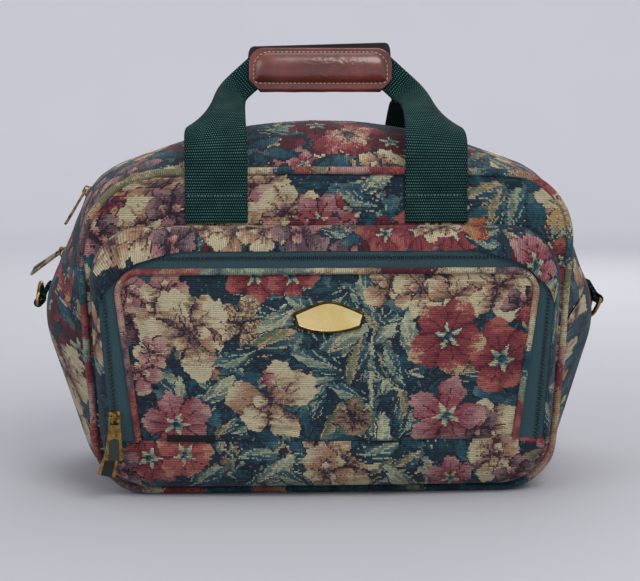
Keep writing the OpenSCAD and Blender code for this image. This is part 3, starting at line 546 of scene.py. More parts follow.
LOWER_MOTIFS = motifs("""
    leaf -62,34,35,10,sage -74,23,32,160,teal -22,29,35,350,sage 49,23,35,15,olive
    leaf 61,33,29,30,olive 80,20,24,95,cream 107,23,29,190,lilac 161,29,32,215,cream
    leaf -6,15,40,5,teal -38,13,32,170,sage -82,33,27,60,tan
    stem -72,7,48,95,sage 73,43,40,280,pale
    bloom -142,35,22,250,red -114,38,22,300,coral
    leaf -98,17,36,35,sage -156,15,32,150,sage
    peony 14,29,21,20,cream -2,21,16,60,tan
    leaf 62,15,36,140,pale
    bloom 99,15,19,20,rose
    peony 132,35,18,250,cream
    leaf 35,42,36,10,sage -44,24,36,40,pale -24,12,32,150,sage
    peony 153,15,16,90,mauve -166,23,14,40,mauve
""")
TOP_MOTIFS = motifs("""
    leaf -54,42,34,20,teal -39,61,39,340,sage -57,76,34,10,teal -34,23,34,165,teal
    leaf -22,70,30,200,sage -72,23,34,30,teal
    bloom 20,51,32,80,burst -5,70,22,200,burgundy 54,42,20,60,burgundy -17,11,14,90,rose
    leaf 3,12,34,20,teal
    peony 45,11,15,20,cream
    leaf 129,42,34,60,olive 146,27,30,120,sage 121,61,30,200,tan 163,23,30,60,sage
    peony -161,23,22,30,mauve
    bloom -182,4,22,20,burgundy
    leaf -127,42,34,150,teal -135,13,34,20,sage
    peony -114,4,17,20,tan
    bloom 86,42,20,20,burgundy
""")
SHELF_MOTIFS = motifs("""
    peony -165,8,16,10,tan -141,13,16,60,cream -105,12,19,120,cream -73,13,19,20,tan
    peony -51,12,18,20,cream -21,15,19,200,mauve
    leaf 7,15,29,20,sage 23,22,24,160,teal
    bloom 47,17,21,60,red 75,13,22,20,red 101,15,22,100,red
    peony 85,11,10,20,cream 97,8,10,80,cream
    leaf 123,22,27,10,sage
    bud 143,10,21,175,orange
    leaf 155,17,29,30,olive
    bloom 167,28,19,50,rose
    bud 186,17,21,80,gold
    peony -125,27,16,10,mauve
""")


# Materials

class Shader:
    """A node material being made."""

    def __init__(self, name, **values):
        self.material = bpy.data.materials.new(name)
        self.material.use_nodes = True
        self.nodes, self.links = self.material.node_tree.nodes, self.material.node_tree.links
        self.surface = self.nodes["Principled BSDF"]
        for socket, value in values.items():
            self.surface.inputs[socket.replace("_", " ")].default_value = value

    def node(self, kind, **settings):
        made = self.nodes.new("ShaderNode" + kind)
        for key, value in settings.items():
            if key in made.inputs:
                made.inputs[key].default_value = value
            else:
                setattr(made, key, value)
        return made

    def feed(self, socket, value):
        if isinstance(value, bpy.types.NodeSocket):
            self.links.new(value, socket)
        else:
            socket.default_value = value

    def math(self, operation, a, b=0.0):
        made = self.node("Math", operation=operation)
        self.feed(made.inputs[0], a)
        self.feed(made.inputs[1], b)
        return made.outputs[0]

    def times(self, a, b):
        return self.math("MULTIPLY", a, b)

    def plus(self, a, b):
        return self.math("ADD", a, b)

    def span(self, value, low, high, start=0.0, end=1.0):
        """Value from start..end carried to low..high."""
        made = self.node("MapRange")
        self.feed(made.inputs["Value"], value)
        for socket, number in (("From Min", start), ("From Max", end), ("To Min", low), ("To Max", high)):
            made.inputs[socket].default_value = number
        return made.outputs[0]

    def blend(self, share, a, b):
        made = self.node("Mix", data_type="RGBA")
        self.feed(made.inputs["Factor"], share)
        self.feed(made.inputs[6], a)
        self.feed(made.inputs[7], b)
        return made.outputs[2]

    def scaled(self, colour, share):
        made = self.node("VectorMath", operation="SCALE")
        self.feed(made.inputs[0], colour)
        self.feed(made.inputs["Scale"], share)
        return made.outputs[0]

    def cloth(self):
        """The two coordinates of the cloth, in millimetres, and both together."""
        uv = self.node("UVMap", uv_map="cloth").outputs[0]
        parts = self.node("SeparateXYZ")
        self.links.new(uv, parts.inputs[0])
        return parts.outputs[0], parts.outputs[1], uv

    def wave(self, value, pitch):
        """A smooth ridge from 0 to 1 at each pitch of a coordinate."""
        turn = self.times(value, 2 * math.pi / pitch)
        return self.plus(self.times(self.math("SINE", turn), 0.5), 0.5)

    def grain(self, place, scale, detail=3.0, rough=0.55):
        made = self.node("TexNoise", Scale=scale, Detail=detail, Roughness=rough)
        self.links.new(place, made.inputs["Vector"])
        return made.outputs[0]

    def here(self):
        """The place on the piece, in metres."""
        return self.node("TexCoord").outputs["Object"]

    def relief(self, height, strength, depth, fleck_patches_and_bevel=0.0):
        """Bumps of a depth in metres, over edges that look worn to a radius."""
        bump = self.node("Bump", Strength=strength, Distance=depth)
        if fleck_patches_and_bevel:
            self.links.new(self.node("Bevel", Radius=fleck_patches_and_bevel).outputs[0], bump.inputs["Normal"])
        self.links.new(height, bump.inputs["Height"])
        self.links.new(bump.outputs[0], self.surface.inputs["Normal"])

    def colour(self, value):
        self.links.new(value, self.surface.inputs["Base Color"])

    def roughness(self, value):
        self.links.new(value, self.surface.inputs["Roughness"])


def rgba(code):
    return (*linear(code), 1.0)


def tapestry_material(name, groove_shade):
    sh = Shader(name, Sheen_Weight=0.08, Sheen_Roughness=0.5, Specular_IOR_Level=0.25)
    u, v, uv = sh.cloth()
    thread = sh.node("VertexColor", layer_name="weave").outputs[0]
    fibre = sh.grain(uv, 0.9)
    rib = sh.wave(v, RIB)
    twist = sh.wave(u, TWIST)
    # The yarn colour is multiplied by the rib wave: down to the given factor in the grooves and up to 1.08 on
    # the tops. This is painted shade between the ribs and painted light on them, times the fibre noise.
    shade = sh.times(sh.span(rib, groove_shade, 1.08), sh.span(fibre, 0.8, 1.2, 0.3, 0.7))
    sh.colour(sh.scaled(thread, shade))
    sh.roughness(sh.span(fibre, 0.75, 0.95))
    sh.relief(sh.plus(rib, sh.times(twist, 0.35)), 0.55, 0.0005)
    return sh.material


def webbing_material(name, dark, light):
    sh = Shader(name, Specular_IOR_Level=0.06)
    u, v, uv = sh.cloth()
    rib = sh.wave(v, WEB_RIB)
    shift = sh.times(sh.math("MODULO", sh.math("FLOOR", sh.math("DIVIDE", v, WEB_RIB)), 2.0), WEB_DOT / 2)
    dots = sh.wave(sh.plus(u, shift), WEB_DOT)
    # Where the tops of the ribs and dots meet, the cloth gets the light colour: a painted highlight on the
    # raised threads.
    raised_highlight = sh.times(sh.math("POWER", rib, 2.0), sh.math("POWER", dots, 3.0))
    # A large patch noise makes the painted highlight flecks stronger or weaker from place to place.
    fleck_patches_and_bevel = sh.grain(uv, 0.05)
    sh.colour(sh.blend(sh.span(sh.times(raised_highlight, sh.span(fleck_patches_and_bevel, 0.55, 1.3, 0.3, 0.7)), 0.0, 0.9),
                       rgba(dark), rgba(light)))
    sh.roughness(sh.span(rib, 0.9, 0.7))
    sh.relief(sh.plus(rib, sh.times(dots, 0.5)), 0.7, 0.0006)
    return sh.material


def tape_material(name, dark, light):
    sh = Shader(name, Specular_IOR_Level=0.3)
    u, v, uv = sh.cloth()
    twill = sh.wave(sh.plus(u, v), TWILL)
    fibre = sh.grain(uv, 0.6)
    # Lighter along the twill's ridges and darker between them, times the fibre noise: painted light and shade
    # that follow the twill's relief.
    sh.colour(sh.blend(sh.times(twill, fibre), rgba(dark), rgba(light)))
    sh.roughness(sh.span(fibre, 0.65, 0.9))
    sh.relief(twill, 0.45, 0.0003)
    return sh.material


def thread_material(name, dark, light, rough=0.7):
    sh = Shader(name)
    fibre = sh.grain(sh.here(), 900.0)
    sh.colour(sh.blend(sh.span(fibre, 0, 1, 0.35, 0.65), rgba(dark), rgba(light)))
    sh.roughness(sh.span(fibre, rough - 0.1, rough + 0.15))
    sh.relief(fibre, 0.3, 0.0002)
    return sh.material


def leather_material(name, dark, light, rough, coat):
    sh = Shader(name, Specular_IOR_Level=0.5, Coat_Weight=coat, Coat_Roughness=0.2)
    place = sh.here()
    cloud = sh.grain(place, 38.0, 4.0)
    pores = sh.node("TexVoronoi", Scale=900.0)
    sh.links.new(place, pores.inputs["Vector"])
    stretched = sh.node("Mapping")
    stretched.inputs["Scale"].default_value = (1.0, 1.0, 0.35)
    stretched.inputs["Rotation"].default_value = (0.0, 0.6, 0.0)
    sh.links.new(place, stretched.inputs["Vector"])
    crease = sh.node("TexNoise", Scale=150.0, Detail=5.0, Roughness=0.6, Distortion=0.6)
    sh.links.new(stretched.outputs[0], crease.inputs["Vector"])
    fold = sh.math("ABSOLUTE", sh.math("SUBTRACT", crease.outputs[0], 0.5))
    line = sh.span(fold, 0.0, 1.0, 0.0, 0.05)
    # The colour is darkened to 70% along the crease lines, which is painted shade in the creases. The cloud
    # noise is the leather's own uneven tone.
    sh.colour(sh.blend(sh.times(sh.span(cloud, 0.1, 1.0, 0.3, 0.7), sh.span(line, 0.7, 1.0)),
                       rgba(dark), rgba(light)))
    sh.roughness(sh.span(cloud, rough - 0.06, rough + 0.12, 0.3, 0.7))
    height = sh.plus(sh.times(line, 0.6), sh.times(pores.outputs[0], 0.4))
    sh.relief(height, 0.25, 0.0004)
    return sh.material


def brass_material(name, dark, light, rough, pitted=0.12, patch=240.0):
    sh = Shader(name, Metallic=1.0)
    cloud = sh.grain(sh.here(), patch, 4.0)
    fine = sh.grain(sh.here(), 1400.0, 2.0)
    sh.colour(sh.blend(sh.span(cloud, 0.0, 1.0, 0.35, 0.62), rgba(dark), rgba(light)))
    sh.roughness(sh.span(cloud, rough + 0.16, rough - 0.06, 0.3, 0.7))
    sh.relief(fine, pitted, 0.0002, 0.0004)
    return sh.material


def moulded_material(name, dark, light, rough):
    sh = Shader(name)
    cloud = sh.grain(sh.here(), 500.0, 3.0)
    sh.colour(sh.blend(sh.span(cloud, 0.0, 1.0, 0.3, 0.7), rgba(dark), rgba(light)))
    sh.roughness(sh.span(cloud, rough - 0.08, rough + 0.1, 0.3, 0.7))
    sh.relief(cloud, 0.15, 0.0002)
    return sh.material


TAPESTRY = tapestry_material("tapestry", 0.6)
PIPING = tapestry_material("piping_cloth", 0.55)
# The webbing's light colour is the painted highlight on its raised flecks.
WEBBING = webbing_material("webbing", "#0a1f21", "#60968f")
TAPE = tape_material("zipper_tape", "#21383f", "#466872")
COIL = moulded_material("zipper_coil", "#13252b", "#2a434b", 0.45)
LEATHER_FACE = leather_material("leather", "#4b160f", "#83372a", 0.36, 1.0)
LEATHER_BACK = leather_material("leather_inside", "#0d0707", "#26120e", 0.75, 0.0)
CREAM_THREAD = thread_material("cream_thread", "#a98e72", "#d8c2a4")
GREEN_THREAD = thread_material("green_thread", "#32504a", "#748f86")
DARK_THREAD = thread_material("dark_thread", "#101c26", "#2b3f4c")
BRASS = brass_material("brass", "#55401f", "#a98850", 0.2)
PLATE = brass_material("plate", "#efd285", "#f8e3a2", 0.2, 0.0, 30.0)
PLATE_RIM = brass_material("plate_rim", "#2a2113", "#5b4724", 0.35)
INLAY = moulded_material("inlay", "#060e0c", "#0f1a16", 0.62)
LABEL = tape_material("label", "#0a0c0e", "#1d2225")
BOARD = moulded_material("board", "#3d342c", "#5a4d40", 0.8)


# Tapestry pieces

def pucker(s, d, pitch, reach, seed):
    """Gathers along a seam that fade with the distance d from it."""
    return np.exp(-np.maximum(d, 0) / reach) * noise(s, d * 0.15, pitch, seed)


def settled(grid, pitch, push, slack, most):
    """How far cloth pinned along its border moves under a push from inside, for each point of a grid."""
    m, n = grid.shape[:2]
    size = [length(line) for line in (grid[:, n // 2], grid[m // 2])]
    rows = np.linspace(0, m - 1, int(size[0] / pitch) + 2)
    cols = np.linspace(0, n - 1, int(size[1] / pitch) + 2)
    coarse = grid[np.ix_(np.round(rows).astype(int), np.round(cols).astype(int))]
    k, j = coarse.shape[:2]
    mesh = bpy.data.meshes.new("settling")
    faces = [tuple(int(i) for i in f) for f in quads(k, j)]
    mesh.from_pydata([tuple(p) for p in coarse.reshape(-1, 3) / 1000], [], faces)
    cloth = bpy.data.objects.new("settling", mesh)
    scene = bpy.context.scene
    scene.collection.objects.link(cloth)
    index = np.arange(k * j).reshape(k, j)
    border = np.concatenate([index[0], index[-1], index[1:-1, 0], index[1:-1, -1]])
    cloth.vertex_groups.new(name="hem").add([int(i) for i in border], 1.0, "REPLACE")
    sim = cloth.modifiers.new("cloth", "CLOTH")
    sim.point_cache.frame_start, sim.point_cache.frame_end = 1, 30
    sim.settings.vertex_group_mass = "hem"
    sim.settings.quality, sim.settings.mass = 5, 0.25
    sim.settings.tension_stiffness = sim.settings.compression_stiffness = 12
    sim.settings.bending_stiffness = 0.4
    sim.settings.shrink_min = slack
    sim.settings.use_pressure, sim.settings.uniform_pressure_force = True, push
    sim.settings.effector_weights.gravity = 0.35
    for f in range(1, 25):
        scene.frame_set(f)
    made = cloth.evaluated_get(bpy.context.evaluated_depsgraph_get()).data
    moved = np.zeros(3 * k * j)
    made.vertices.foreach_get("co", moved)
    moved = moved.reshape(k, j, 3) * 1000 - coarse
    scene.frame_set(1)
    bpy.data.objects.remove(cloth)
    bpy.data.meshes.remove(mesh)
    far = np.linalg.norm(moved, axis=-1, keepdims=True)
    moved = moved * np.minimum(1, most / np.maximum(far, 1e-9))
    a, b = np.linspace(0, k - 1, m), np.linspace(0, j - 1, n)
    i0, j0 = np.minimum(a.astype(int), k - 2), np.minimum(b.astype(int), j - 2)
    fa, fb = (a - i0)[:, None, None], (b - j0)[None, :, None]
    return mix(mix(moved[np.ix_(i0, j0)], moved[np.ix_(i0 + 1, j0)], fa),
               mix(moved[np.ix_(i0, j0 + 1)], moved[np.ix_(i0 + 1, j0 + 1)], fa), fb)


def tapestry_piece(name, grid, u, v, weave_of, node, ribs="v"):
    """A woven sheet from a grid of points; weave_of colours its cells."""
    uv = np.stack([u, v] if ribs == "v" else [v, u], -1)
    rgb = weave_of(centres(u), centres(v)).done()
    return make_piece(name, grid, quads(*grid.shape[:2]), TAPESTRY, (node,), uv, rgb)


def panel_edges(z, grow):
    """Left and right edge of a panel at heights z."""
    def side(quarter_a, quarter_b):
        line = np.concatenate([quarter_a, quarter_b[1:]])
        return line + outward(line, False) * grow

    right = side(PANEL_RING[0], PANEL_RING[1])
    left = side(PANEL_RING[2], PANEL_RING[3])
    xr = np.interp(z, right[::-1, 1], right[::-1, 0])
    xl = np.interp(z, left[:, 1], left[:, 0])
    return xl, xr


def panel_grid(step, grow=1.6):
    rows = int((PANEL_H - PANEL_Z0 + 2 * grow) / step)
    cols = int(2 * PANEL_HALF / step)
    zn = np.linspace(PANEL_Z0 - grow + 0.02, PANEL_H + grow - 1.2, rows + 1)[:, None]
    xl, xr = panel_edges(zn, grow)
    x = mix(xl, xr, np.linspace(0, 1, cols + 1)[None, :])
    crown = 3.4 * (1 - np.sqrt((x / 197) ** 2 + 0.002))
    z = zn + crown * smooth((zn - 190) / 60)
    edge = np.minimum(np.minimum(x - xl, xr - x), np.minimum(z - PANEL_Z0, PANEL_H + 2 - z)) + grow
    return x, z, edge


def front_weave(u, v):
    cloth = Weave(u, v, 11)
    cloth.fill((-200, 0), (200, 180), 44, 5)
    cloth.place(BAND_MOTIFS)
    return cloth


def make_front_panel():
    x, z, edge = panel_grid(1.35)
    y = panel_y(x, z) + 2.2 * np.exp(-edge / 1.8)
    y = y - 0.9 * noise(x, z, 55, 21) * smooth(edge / 12)
    y = y - 1.3 * pucker(x + z, edge, 13, 9, 22)
    piece = tapestry_piece("front_panel_cloth", np.stack([x, y, z], -1), x, z, front_weave, "front_panel")
    return piece


def make_rear_panel():
    x, z, edge = panel_grid(1.7)
    y = -panel_y(x, z) - 2.2 * np.exp(-edge / 1.8)
    y = y + 1.2 * noise(x, z, 60, 23) * smooth(edge / 12) + 1.3 * pucker(x + z, edge, 13, 9, 24)

    def weave(u, v):
        cloth = Weave(u, v, 12)
        cloth.fill((-210, 0), (210, 260), 46, 6, 0.7)
        return cloth
    grid = np.stack([x, y, z], -1)[:, ::-1]
    piece = tapestry_piece("rear_panel_cloth", grid, x[:, ::-1], z[:, ::-1], weave, "rear_panel")
    return piece


def gusset_grid(f, y):
    """Points of the gusset at places f of the ring and depths y, with its cloth coordinates."""
    p, m = on_ring(PANEL_RING, f), on_ring(MID_RING, f)
    w = swell(y)[:, None, None]
    flat = mix(p[None], m[None], w)
    grid = upright(flat, y[:, None])
    run = run_along(m)
    side = run_along(grid[:, len(f) // 2])
    s = np.broadcast_to(run[None], flat.shape[:2])
    d = np.broadcast_to(side[:, None], flat.shape[:2])
    return grid, s, d


def strip_places(step):
    """Places over the top of the ring, from its left zipper end to its right one."""
    left, right = length(MID_RING[3]), length(MID_RING[0])
    return np.concatenate([np.linspace(3, 4, int(left / step) + 1)[:-1],
                           np.linspace(4, 5, int(right / step) + 1)])


def make_gusset_strip(name, node, front, step, weave_of):
    f = strip_places(step)
    y = np.linspace(-HALF_D + 0.1, -ZIP_HALF, int(105 / step))
    grid, s, d = gusset_grid(f, y)
    middle = length(MID_RING[3])
    normal = grid_normals(grid)
    normal *= np.sign((normal * [0, -0.3, 1]).sum(-1).mean())
    hem = np.minimum(d, d.max() - d)
    lift = 1.6 * noise(s, d, 48, 32 + front) * smooth(hem / 14) + 1.1 * pucker(s, d, 12, 10, 33)
    lift += 0.8 * pucker(s, d.max() - d, 11, 8, 34) * smooth((d.max() - d) / 3)
    grid = grid + normal * lift[..., None]
    u, v = s - middle, d
    if not front:
        grid = (grid * [1, -1, 1])[:, ::-1]
        u, v = u[:, ::-1], v[:, ::-1]
    piece = tapestry_piece(name, grid, u, v, weave_of, node, "u")
    return piece


def top_weave(u, v):
    cloth = Weave(u, v, 13, "u")
    cloth.fill((-320, 0), (320, 100), 40, 7, 0.6)
    cloth.place(TOP_MOTIFS)
    return cloth


def back_top_weave(u, v):
    cloth = Weave(u, v, 14, "u")
    cloth.fill((-320, 0), (320, 100), 42, 8, 0.7)
    return cloth


def make_base_gusset():
    step = 1.9
    f = np.concatenate([np.linspace(1.0, 2.0, int(length(MID_RING[1]) / step) + 1)[:-1],
                        np.linspace(2.0, 3.0, int(length(MID_RING[2]) / step) + 1)])
    y = np.linspace(-HALF_D + 0.1, HALF_D - 0.1, int(200 / step))
    grid, s, d = gusset_grid(f, y)
    normal = grid_normals(grid)
    normal *= np.sign((normal[:, 0] * [1, 0, 0]).sum(-1).mean())
    hem = np.minimum(d, d.max() - d)
    high = smooth((grid[..., 2] - 8) / 25)
    lift = 2.0 * noise(s, d, 55, 42) * smooth(hem / 16) + 1.2 * pucker(s, hem, 13, 10, 43)
    grid = grid + normal * (lift * high)[..., None]

    def weave(u, v):
        cloth = Weave(u, v, 15, "u")
        cloth.fill((0, 0), (s.max(), d.max()), 46, 9, 0.85)
        return cloth
    piece = tapestry_piece("base_gusset_cloth", grid, s, d, weave, "base_gusset", "u")
    return piece


# Pocket

LEG_N, ARC_N, TOP_N = 110, 26, 230     # steps along a leg, a corner and the top
PATH_N = (LEG_N, ARC_N, TOP_N, ARC_N, LEG_N)
WALL_ROWS = 42
FACE_FOOT = COIL_FOOT - FOOT_IN - 2 * CORD_R - 0.6
FACE_TOP = COIL_X - TAPE_IN - 2 * CORD_R - 0.6
FACE_Z1 = COIL_TOP - TAPE_IN - 2 * CORD_R - 0.6
FACE_R = COIL_R - TAPE_IN - 3
FACE_MID = mix(SEAM_Z, FACE_Z1, 0.45)
EDGE_X = leg_half(SEAM_Z)
TAPE_X = COIL_FOOT + TAPE_OUT


def pocket_path(grow, foot_grow=None):
    """The line of the pocket zipper, moved out by grow."""
    foot = COIL_FOOT + (grow if foot_grow is None else foot_grow)
    return u_path(foot, COIL_X + grow, SEAM_Z + 0.1, COIL_TOP + grow, COIL_R + grow, PATH_N)


def face_side(z):
    return mix(FACE_FOOT, FACE_TOP, np.clip((z - SEAM_Z) / (FACE_Z1 - SEAM_Z), 0, 1))


def face_half(z):
    drop = np.maximum(0, z - FACE_Z1 + FACE_R)
    return face_side(z) - FACE_R + np.sqrt(np.maximum(0, FACE_R ** 2 - drop ** 2))


def face_y(x, z):
    rise = np.where(z > FACE_MID, 1 - ((z - FACE_MID) / (FACE_Z1 - FACE_MID)) ** 2,
                    1 - 0.35 * ((FACE_MID - z) / (FACE_MID - SEAM_Z)) ** 2)
    return ZIP_Y - FACE_BOW * (1 - np.minimum(1, np.abs(x) / face_side(z)) ** 2.4) * np.maximum(0, rise)


def face_weave(u, v):
    cloth = Weave(u, v, 16)
    cloth.fill((-170, 40), (170, 190), 44, 10, 0.0)
    cloth.place(FACE_MOTIFS)
    return cloth


def make_pocket_face():
    step, grow = 0.95, 1.4
    zn = np.linspace(SEAM_Z + 0.1, FACE_Z1 - 0.15, int((FACE_Z1 - SEAM_Z) / step) + 1)[:, None]
    t = np.linspace(-1, 1, int(2 * FACE_TOP / step) + 1)[None, :]
    half = face_half(zn)
    x = t * (half + grow)
    z = np.broadcast_to(zn + grow * smooth((zn - FACE_Z1 + 12) / 12), x.shape)
    edge = np.minimum(half + grow - np.abs(x), FACE_Z1 + grow - z)
    y = face_y(np.clip(x, -half, half), np.minimum(z, FACE_Z1)) + 1.4 * np.exp(-edge / 1.6)
    seam = z - SEAM_Z
    y = y + 2.6 * np.exp(-seam / 1.8)
    y = y - 1.5 * noise(x, z, 60, 51) * smooth(np.minimum(edge, seam) / 16)
    y = (y - 1.2 * pucker(x + z, edge, 12, 8, 52) * smooth(edge / 3)
         - 1.6 * pucker(x, seam, 15, 14, 53) * smooth(seam / 3))
    grid = np.stack([x, y, z], -1)
    badge = np.hypot(x / 42, (z - FACE_Z1 + 32) / 26)
    label = np.hypot((x + 109) / 34, (z - SEAM_Z) / 16)
    free = smooth((np.minimum(badge, label) - 0.75) / 0.5)
    grid = grid + settled(grid, 5.0, -0.6, -0.03, 3.5) * free[..., None]
    piece = tapestry_piece("pocket_face_cloth", grid, x, z, face_weave, "pocket_face")
    return piece


def corner_cover(reach_leg=34.0, reach_top=62.0):
    """How far the wall closes over the zipper, from 0 to 1, at each point of its path."""
    line = pocket_path(0.0)
    run = run_along(line)
    left = run - run[LEG_N + ARC_N // 2]
    right = run[-LEG_N - ARC_N // 2 - 1] - run
    near = [np.where(d < 0, 1 + d / reach_leg, 1 - d / reach_top) for d in (left, right)]
    return smooth(np.maximum(*near))[:, None]


def make_pocket_wall():
    rim = u_path(EDGE_X, leg_half(POCKET_H), SEAM_Z + 0.1, POCKET_H, 44, PATH_N)
    cover = corner_cover()
    edge = mix(pocket_path(TAPE_OUT + 0.1), pocket_path(-TAPE_IN + 1.2, -FOOT_IN + 1.2), cover)
    a = np.linspace(0, math.pi / 2, WALL_ROWS)[:, None]
    p = mix(rim[None], edge[None], (1 - np.cos(a))[..., None])
    start = panel_y(rim[:, 0], rim[:, 1])[None] + 0.4
    y = mix(start, ZIP_Y - 2.6 * smooth(1.8 * cover[:, 0])[None], np.sin(a))
    grid = upright(p, y)
    run = run_along(edge)
    side = run_along(grid[:, len(edge) // 2])
    s = np.broadcast_to(run[None] - run[-1] / 2, p.shape[:2])
    d = np.broadcast_to(side[:, None], p.shape[:2])
    normal = grid_normals(grid)
    normal *= np.sign((normal * [0, -1, 0.2]).sum(-1).mean())
    lift = 1.2 * noise(s, d, 34, 54) * smooth(d / 8) * smooth((d.max() - d) / 6)
    lift += 0.9 * pucker(s, d, 11, 8, 55) * smooth(d / 3)
    grid = grid + normal * lift[..., None]

    def weave(u, v):
        cloth = Weave(u, v, 17, "u")
        cloth.fill((-360, 0), (360, 40), 34, 11)
        cloth.place(SHELF_MOTIFS)
        return cloth
    piece = tapestry_piece("pocket_wall_cloth", grid, s, d, weave, "pocket_gusset", "u")
    return piece


def band_skin(x, v):
    a = math.pi / 2 * v
    off = np.clip((np.abs(x) - TAPE_X) / (EDGE_X - TAPE_X), 0, 1)
    top = np.where(np.abs(x) < FACE_FOOT, face_y(x, np.full_like(x, SEAM_Z)),
                   mix(panel_y(EDGE_X, SEAM_Z) - 0.6, ZIP_Y, np.sqrt(1 - off ** 2)))
    e = np.maximum(0, np.abs(x) - PANEL_FOOT + FOOT_R)
    foot = np.minimum(SEAM_Z - 0.8, PANEL_Z0 + 1 + FOOT_R - np.sqrt(np.maximum(0, FOOT_R ** 2 - e ** 2)))
    z = mix(SEAM_Z - 0.1, foot, np.sin(a))
    y = mix(panel_y(x, z) - 0.3, top, np.maximum(0, np.cos(a)) ** 0.7)
    return np.stack([x, y, z], -1)


def make_lower_band():
    step = 1.05
    xs = np.linspace(-EDGE_X, EDGE_X, int(2 * EDGE_X / step) + 1)[None, :]
    v = np.linspace(1, 0, WALL_ROWS)[:, None]
    x = np.broadcast_to(xs, (WALL_ROWS, xs.shape[1])).copy()
    grid = band_skin(x, np.broadcast_to(v, x.shape))
    z = grid[..., 2]
    seam = SEAM_Z - z
    normal = np.array([0, -0.85, -0.5])
    lift = -2.6 * np.exp(-seam / 1.8) + 1.4 * noise(x, z, 40, 56) * smooth(seam / 14) * smooth((z - 8) / 10)
    lift += 1.5 * pucker(x, seam, 14, 12, 57) * smooth(seam / 3)
    grid = grid + normal * lift[..., None]

    def weave(u, v):
        cloth = Weave(u, v, 18)
        cloth.fill((-190, 0), (190, 50), 36, 12, 0.2)
        cloth.place(LOWER_MOTIFS)
        return cloth
    piece = tapestry_piece("lower_band_cloth", grid, x, z, weave, "pocket_lower_band")
    return piece


# Piping

def cord_weave(u, v, seed, lengths=None):
    """Bias-cut cloth: one colour after another along the cord."""
    cloth = Weave(u, v, seed, "u")
    if lengths is None:
        tones = cloth.rng.choice("red cream teal sage red tan pink teal mauve coral olive".split(), 120)
        lengths = list(zip(cloth.rng.uniform(12, 52, 120), tones))
    cloud = noise(cloth.u, cloth.v, 8, seed + 6)
    at = cloth.u.min()
    for long, tone in lengths:
        ends = cloth.u + 9 * (cloth.grain - 0.5)
        here = np.nonzero((ends >= at) & (ends < at + long))[0]
        cloth.paint(here, TONES[tone][0][1:], 0.55 + 0.35 * cloud[here] + 0.35 * (cloth.grain[here] - 0.5))
        at += long
    return cloth


def make_piping_cord(name, node, y, seed):
    f = np.linspace(0, 4, 760, endpoint=False)
    line = on_ring(PANEL_RING, f)
    n = outward(line, True)
    centre = line + n * (PIPING_R + 0.2)
    run = run_along(centre)
    wobble = 0.35 * noise(run, run * 0, 17, seed)
    centre3 = upright(centre + n * wobble[:, None], y)
    out = upright(n)
    side = facing(0, -1, 0, out)
    radius = PIPING_R * (1 + 0.05 * noise(run, run * 0, 9, seed + 1))
    steps = 14
    points, faces = tube(centre3, out, side, radius, steps, True)
    around = np.arange(steps) * 2 * math.pi * PIPING_R / steps
    s, r = np.broadcast_to(run[:, None], points.shape[:2]), np.broadcast_to(around[None], points.shape[:2])
    uv = np.stack([r, s], -1)
    rgb = cord_weave(s, r, seed).done()
    rgb = np.concatenate([rgb.reshape(len(f), steps, 3)[:-1].reshape(-1, 3), rgb[-steps:]])
    return make_piece(name, points, faces, PIPING, (node,), uv, rgb)


def make_pocket_cord():
    d = -(CORD_R + 0.3)
    line = pocket_path(-TAPE_IN + d, -FOOT_IN + d)
    n = outward(line, False)
    run = run_along(line)
    centre, out = upright(line, ZIP_Y), upright(n)
    side = facing(0, -1, 0, out)
    steps = 12
    points, faces = tube(centre, out, side, CORD_R * (1 + 0.05 * noise(run, run * 0, 8, 61)), steps, False)
    around = np.arange(steps) * 2 * math.pi * CORD_R / steps
    s, r = np.broadcast_to(run[:, None], points.shape[:2]), np.broadcast_to(around[None], points.shape[:2])
    colours = [(40, "red"), (48, "mauve"), (40, "pink"), (34, "red"), (30, "coral"), (88, "sage"),
               (32, "cream"), (22, "tan"), (46, "burgundy"), (44, "cream"), (30, "mauve"), (36, "tan"),
               (26, "cream"), (22, "teal"), (20, "sage"), (90, "red")]
    rgb = cord_weave(s, r, 62, colours).done().reshape(len(line), steps, 3)[:-1].reshape(-1, 3)
    uv = np.stack([r, s], -1)
    return make_piece("pocket_piping_cord", points, faces, PIPING, ("pocket_piping",), uv, rgb)


# Zippers

def band_grid(inner, outer, y, count):
    t = np.linspace(0, 1, count)[:, None, None]
    return upright(mix(inner[None], outer[None], t), float(y))


def tapes_piece(name, node, grids, uvs):
    """Two or more strips of tape as one piece."""
    points, faces, base = [], [], 0
    for grid in grids:
        points.append(grid.reshape(-1, 3))
        faces.append(quads(*grid.shape[:2]) + base)
        base += grid.shape[0] * grid.shape[1]
    uv = np.concatenate([pair.reshape(-1, 2) for pair in uvs])
    return make_piece(name, np.concatenate(points), np.concatenate(faces), TAPE, (node,), uv)


def make_pocket_tapes():
    grids, uvs = [], []
    covered = mix(pocket_path(TAPE_OUT + 0.6), pocket_path(1.2), corner_cover())
    for inner, outer in ((pocket_path(-TAPE_IN - 1.5, -FOOT_IN - 1.5), pocket_path(-0.7)),
                         (pocket_path(0.7), covered)):
        grid = band_grid(inner, outer, TAPE_Y, 9)
        run = run_along(outer)
        s = np.broadcast_to(run[None], grid.shape[:2])
        d = np.linalg.norm(grid - grid[:1], axis=-1)
        grid[..., 1] -= 0.5 * noise(s, d, 22, 63) * np.sin(np.linspace(0, math.pi, 9))[:, None]
        grids.append(grid)
        uvs.append(np.stack([d, s], -1))
    return tapes_piece("pocket_tapes_cloth", "pocket_zip_tapes", grids, uvs)


